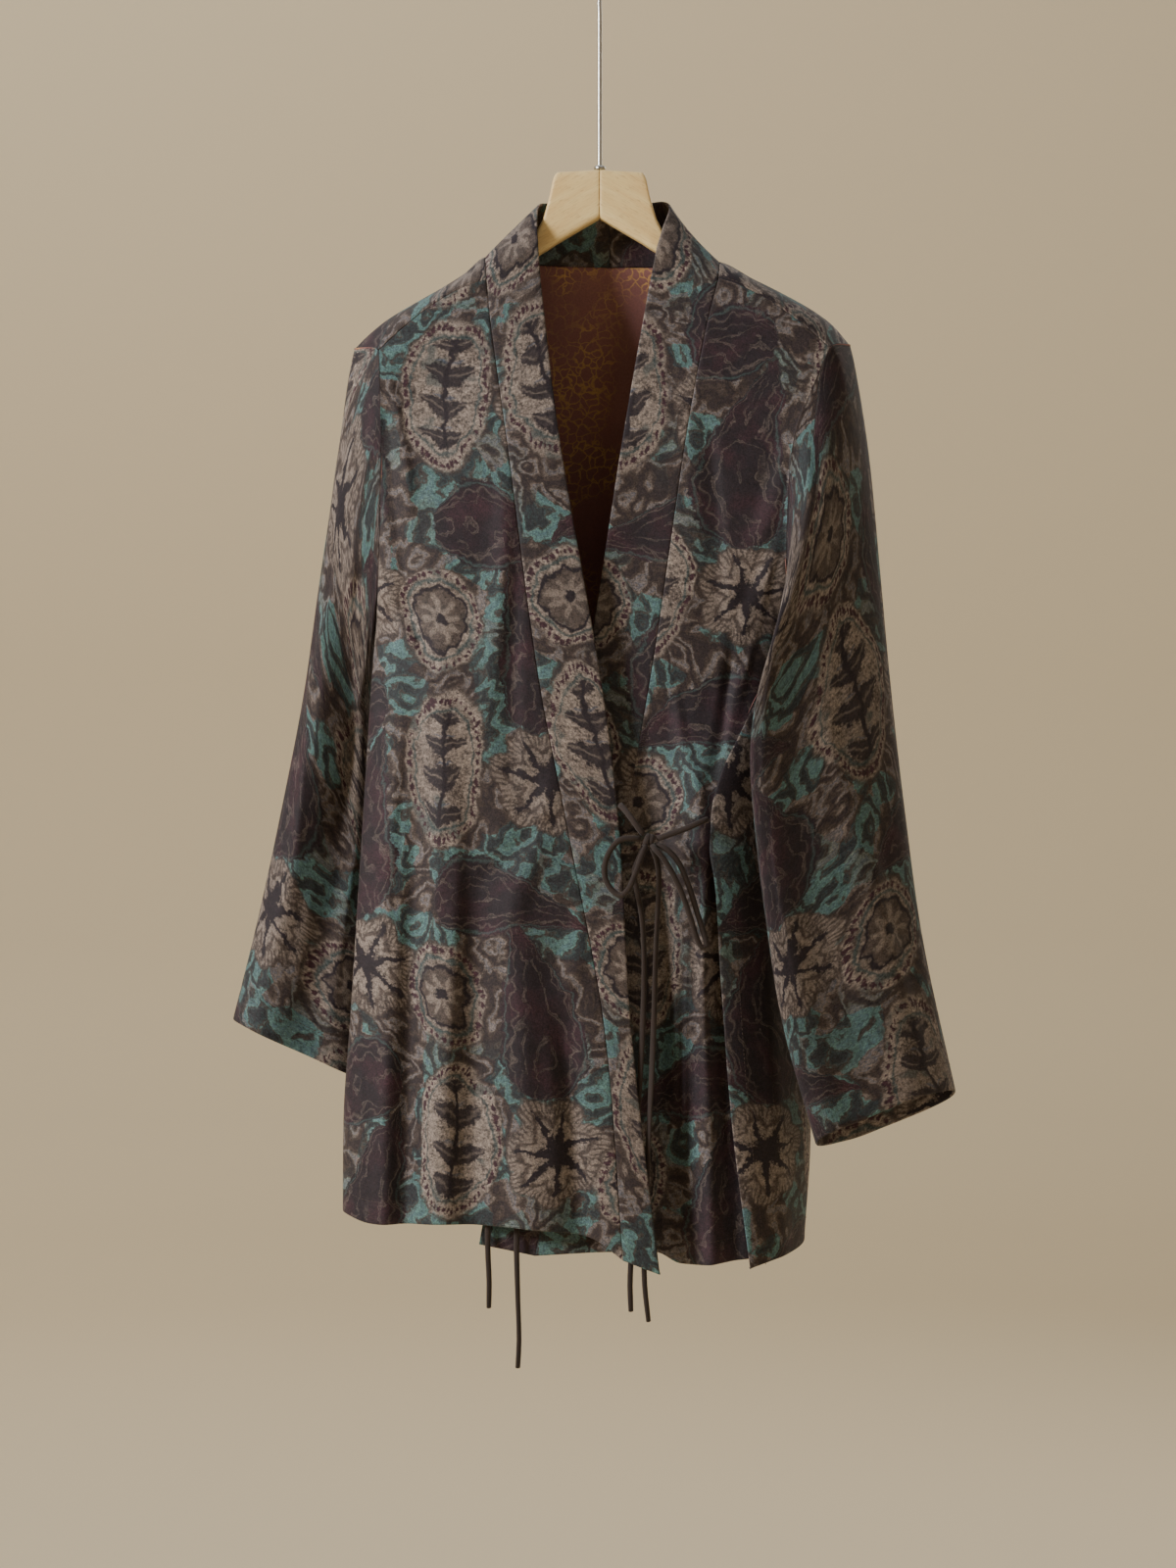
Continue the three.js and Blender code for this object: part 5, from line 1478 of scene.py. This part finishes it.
beech_grain_place = beech_stretched(9, 90)
beech_ring = beech.noise(beech_grain_place, 1.6, 3, 0.55, 0.5)
beech_fine = beech.noise(beech_grain_place, 9, 3, 0.65)
beech_fleck = ((beech.noise(beech_stretched(60, 420), 2.5, 1, 0.5) - 0.63) * 12).kept()
beech_tint = beech.painted(
    colour("eec886"),
    (colour("fee2a2"), ((beech_ring - 0.3) * 2.4).kept()),
    (colour("c99f6c"), ((beech_fine - 0.5) * 3).kept() * 0.5),
    (colour("b08456"), beech_fleck * 0.4),
)
beech_bump = beech.bump(beech_fine - 0.6 * beech_fleck, 0.0002, 0.35)
beech.gives(Base_Color=beech_tint, Roughness=0.42 + 0.18 * beech_fine, Normal=beech_bump)
beech.gives(Coat_Weight=0.12, Coat_Roughness=0.35)


def hanger_half(side):
    away = -1 if side == "left" else 1
    arm = HANGER_ARM["out"]
    arm_top = read(RIDGE, "x", "drop", away * arm) + HANGER_ARM["under"]
    outs = np.concatenate([HANGER["out"], arm])
    rows = {
        "top": np.concatenate([HANGER["top"], arm_top]),
        "bottom": np.concatenate([HANGER["bottom"], arm_top + HANGER_ARM["height"]]),
        "thick": np.concatenate([HANGER["thick"], HANGER_ARM["thick"]]),
        "blunt": np.concatenate([HANGER["blunt"], HANGER_ARM["blunt"]]),
    }
    stations = np.concatenate([
        [MITRE_GAP, 0.45, 1.0], np.linspace(3, 31, 7), np.linspace(32.5, 52, 27),
        np.linspace(54, 94, 16), np.linspace(98, 168, 18), [169.5, 171, 172.5, 173.4, HANGER_END],
    ])
    shrink = np.interp(stations, HANGER_SHRINK["out"], HANGER_SHRINK["share"])
    turn = (np.arange(HANGER_SIDES) + 0.5) / HANGER_SIDES * 2 * math.pi
    rings = []
    for out, scale in zip(stations, shrink):
        near = np.clip(np.array([out - EDGE_SANDED, out, out + EDGE_SANDED]), 0, HANGER_END)
        top, bottom, thick, blunt = [np.interp(near, outs, rows[c]).mean() for c in rows]
        lobe = lambda value: np.sign(value) * np.abs(value) ** blunt
        high = (bottom - top) / 2 * (1 - (1 - scale) * 0.4)
        drop = (top + bottom) / 2 - high * lobe(np.sin(turn))
        rings.append(point(away * out, thick / 2 * scale * lobe(np.cos(turn)), drop))
    rings = np.array(rings)
    count, sides = rings.shape[:2]
    corner = np.arange(count * sides).reshape(count, sides)
    beside = np.roll(corner, -1, axis=1)
    faces = np.stack([corner[:-1], beside[:-1], beside[1:], corner[1:]], axis=-1)
    faces = faces.reshape(-1, 4).tolist() + [corner[0].tolist(), corner[-1].tolist()]
    mesh = bpy.data.meshes.new(f"hanger_{side}")
    mesh.from_pydata((rings.reshape(-1, 3) * MM).tolist(), [], faces)
    faced_out(mesh)
    mesh.set_sharp_from_angle(angle=math.radians(50))
    return mesh


for side in ("left", "right"):
    hanger_piece = placed(f"wood_hanger_{side}", hanger_half(side), beech)
    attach(hanger_piece, "root")
    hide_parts(f"hanger_{side}")

# ---------------------------------------------------------------- rod and ring
# A straight steel rod, screwed into the mitre from above and bent into an open hook at its top.
# A small turned ring covers the hole. Both are drawn and brushed steel, with faint lengthwise lines.

ROD = 3.6
HOOK_RADIUS = 18
HOOK_TURN = (-62, 200, 13)
ROD_STEM = [(0, 206.7), (0, 186), (0, 140), (0, 100), (0, 60), (0, 46), (2.2, 40)]
RING_DROP = 182.7
RING_PROFILE = [
    (2.1, 0), (4.35, 0), (4.6, 0.25), (4.6, 2.0), (4.4, 2.35), (3.75, 3.0), (3.4, 3.2), (2.1, 3.2),
]

steel = Finish("brushed steel")
steel_place = steel.node("ShaderNodeTexCoord", {}, {}, 3)
steel_drawn = steel.node(
    "ShaderNodeMapping", {"vector_type": "POINT"}, {"Vector": steel_place, "Scale": (2600, 2600, 45)}
)
steel_line = steel.noise(steel_drawn, 1, 3, 0.6)
steel_cloud = steel.noise(steel_place, 130, 2)
steel_tint = steel.mixed(colour("a8a7a3"), colour("d2d1cc"), steel_line)
steel_bump = steel.bump(steel_line, 0.00008, 0.5)
steel_rough = 0.2 + 0.16 * steel_line + 0.12 * steel_cloud
steel.gives(Base_Color=steel_tint, Metallic=1.0, Roughness=steel_rough, Normal=steel_bump)

hook_turns = np.radians(np.linspace(*HOOK_TURN))
hook_round = HOOK_RADIUS + ROD / 2
rod_points = [(x, 0, drop) for x, drop in ROD_STEM]
rod_points += [
    (hook_round * math.cos(turn), 0, HOOK_RADIUS - hook_round * math.sin(turn)) for turn in hook_turns
]
rod_line, _ = smooth_line(rod_points, 190)
rod_piece = placed("steel_rod", bar_mesh("rod", rod_line, ROD, ROD, (0, -1, 0), sides=20), steel)
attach(rod_piece, "root")
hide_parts("hanger_rod")


def lathed(name, profile, sides, size, closed):
    """A profile of radius and height, turned round the upright axis."""
    turns = np.arange(sides) / sides * 2 * math.pi
    spots = [(r * math.cos(turn), r * math.sin(turn), rise) for r, rise in profile for turn in turns]
    faces = []
    for row in range(len(profile) if closed else len(profile) - 1):
        low, high = row * sides, (row + 1) % len(profile) * sides
        for i in range(sides):
            j = (i + 1) % sides
            faces.append((low + i, low + j, high + j, high + i))
    mesh = bpy.data.meshes.new(name)
    mesh.from_pydata((np.array(spots) * size).tolist(), [], faces)
    mesh.shade_smooth()
    return mesh


ring_mesh = lathed("ring", [(r, rise - RING_DROP) for r, rise in RING_PROFILE], 56, MM, True)
ring_mesh.set_sharp_from_angle(angle=math.radians(60))
ring_piece = placed("steel_ring", ring_mesh, steel)
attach(ring_piece, "root")
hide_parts("hanger_ferrule")

# ---------------------------------------------------------------- floor and light
# A wide plain pale floor that curves up all round, and soft light from large lamps: the strongest
# stands in front at the left, the others fill the right side, the back and the wall behind.

# Radius and height, in metres.
SWEEP = [
    (0.01, -1.72), (5.0, -1.72), (5.7, -1.66), (6.2, -1.45), (6.5, -1.05), (6.6, -0.4), (6.6, 4.2),
]
plaster = Finish("plain pale sweep")
plaster.gives(Base_Color=(*colour("dac9a8"), 1), Roughness=0.9)
floor = placed("sweep", lathed("sweep", SWEEP, 96, 1, False), plaster)

for name, power, size, place, target in (
    ("key", 132, 0.8, (-2.8, -1.7, 0.5), (0, 0, -0.6)),
    ("fill", 6, 2.2, (2.2, -3.0, -0.2), (0, 0, -0.7)),
    ("top", 7, 1.4, (0.3, 0.2, 1.4), (0, 0, -0.6)),
    ("back", 26, 2.0, (2.0, 2.6, 0.9), (0, 0, -0.6)),
    ("wall", 140, 2.5, (-1.4, 2.8, 3.2), (-0.6, 6.6, -0.6)),
):
    lamp_data = bpy.data.lights.new(name, "AREA")
    lamp_data.energy = power
    lamp_data.size = size
    lamp = bpy.data.objects.new(name, lamp_data)
    lamp.location = place
    aim = np.array(target) - np.array(place)
    tilt = math.acos(-aim[2] / np.linalg.norm(aim))
    heading = math.atan2(aim[1], aim[0]) - math.pi / 2
    lamp.rotation_euler = (tilt, 0, heading)
    bpy.context.collection.objects.link(lamp)

world = bpy.data.worlds.new("room")
bpy.context.scene.world = world
world.use_nodes = True
room_light = world.node_tree.nodes["Background"].inputs
room_light["Color"].default_value = (0.86, 0.93, 1.0, 1)
room_light["Strength"].default_value = 0.16
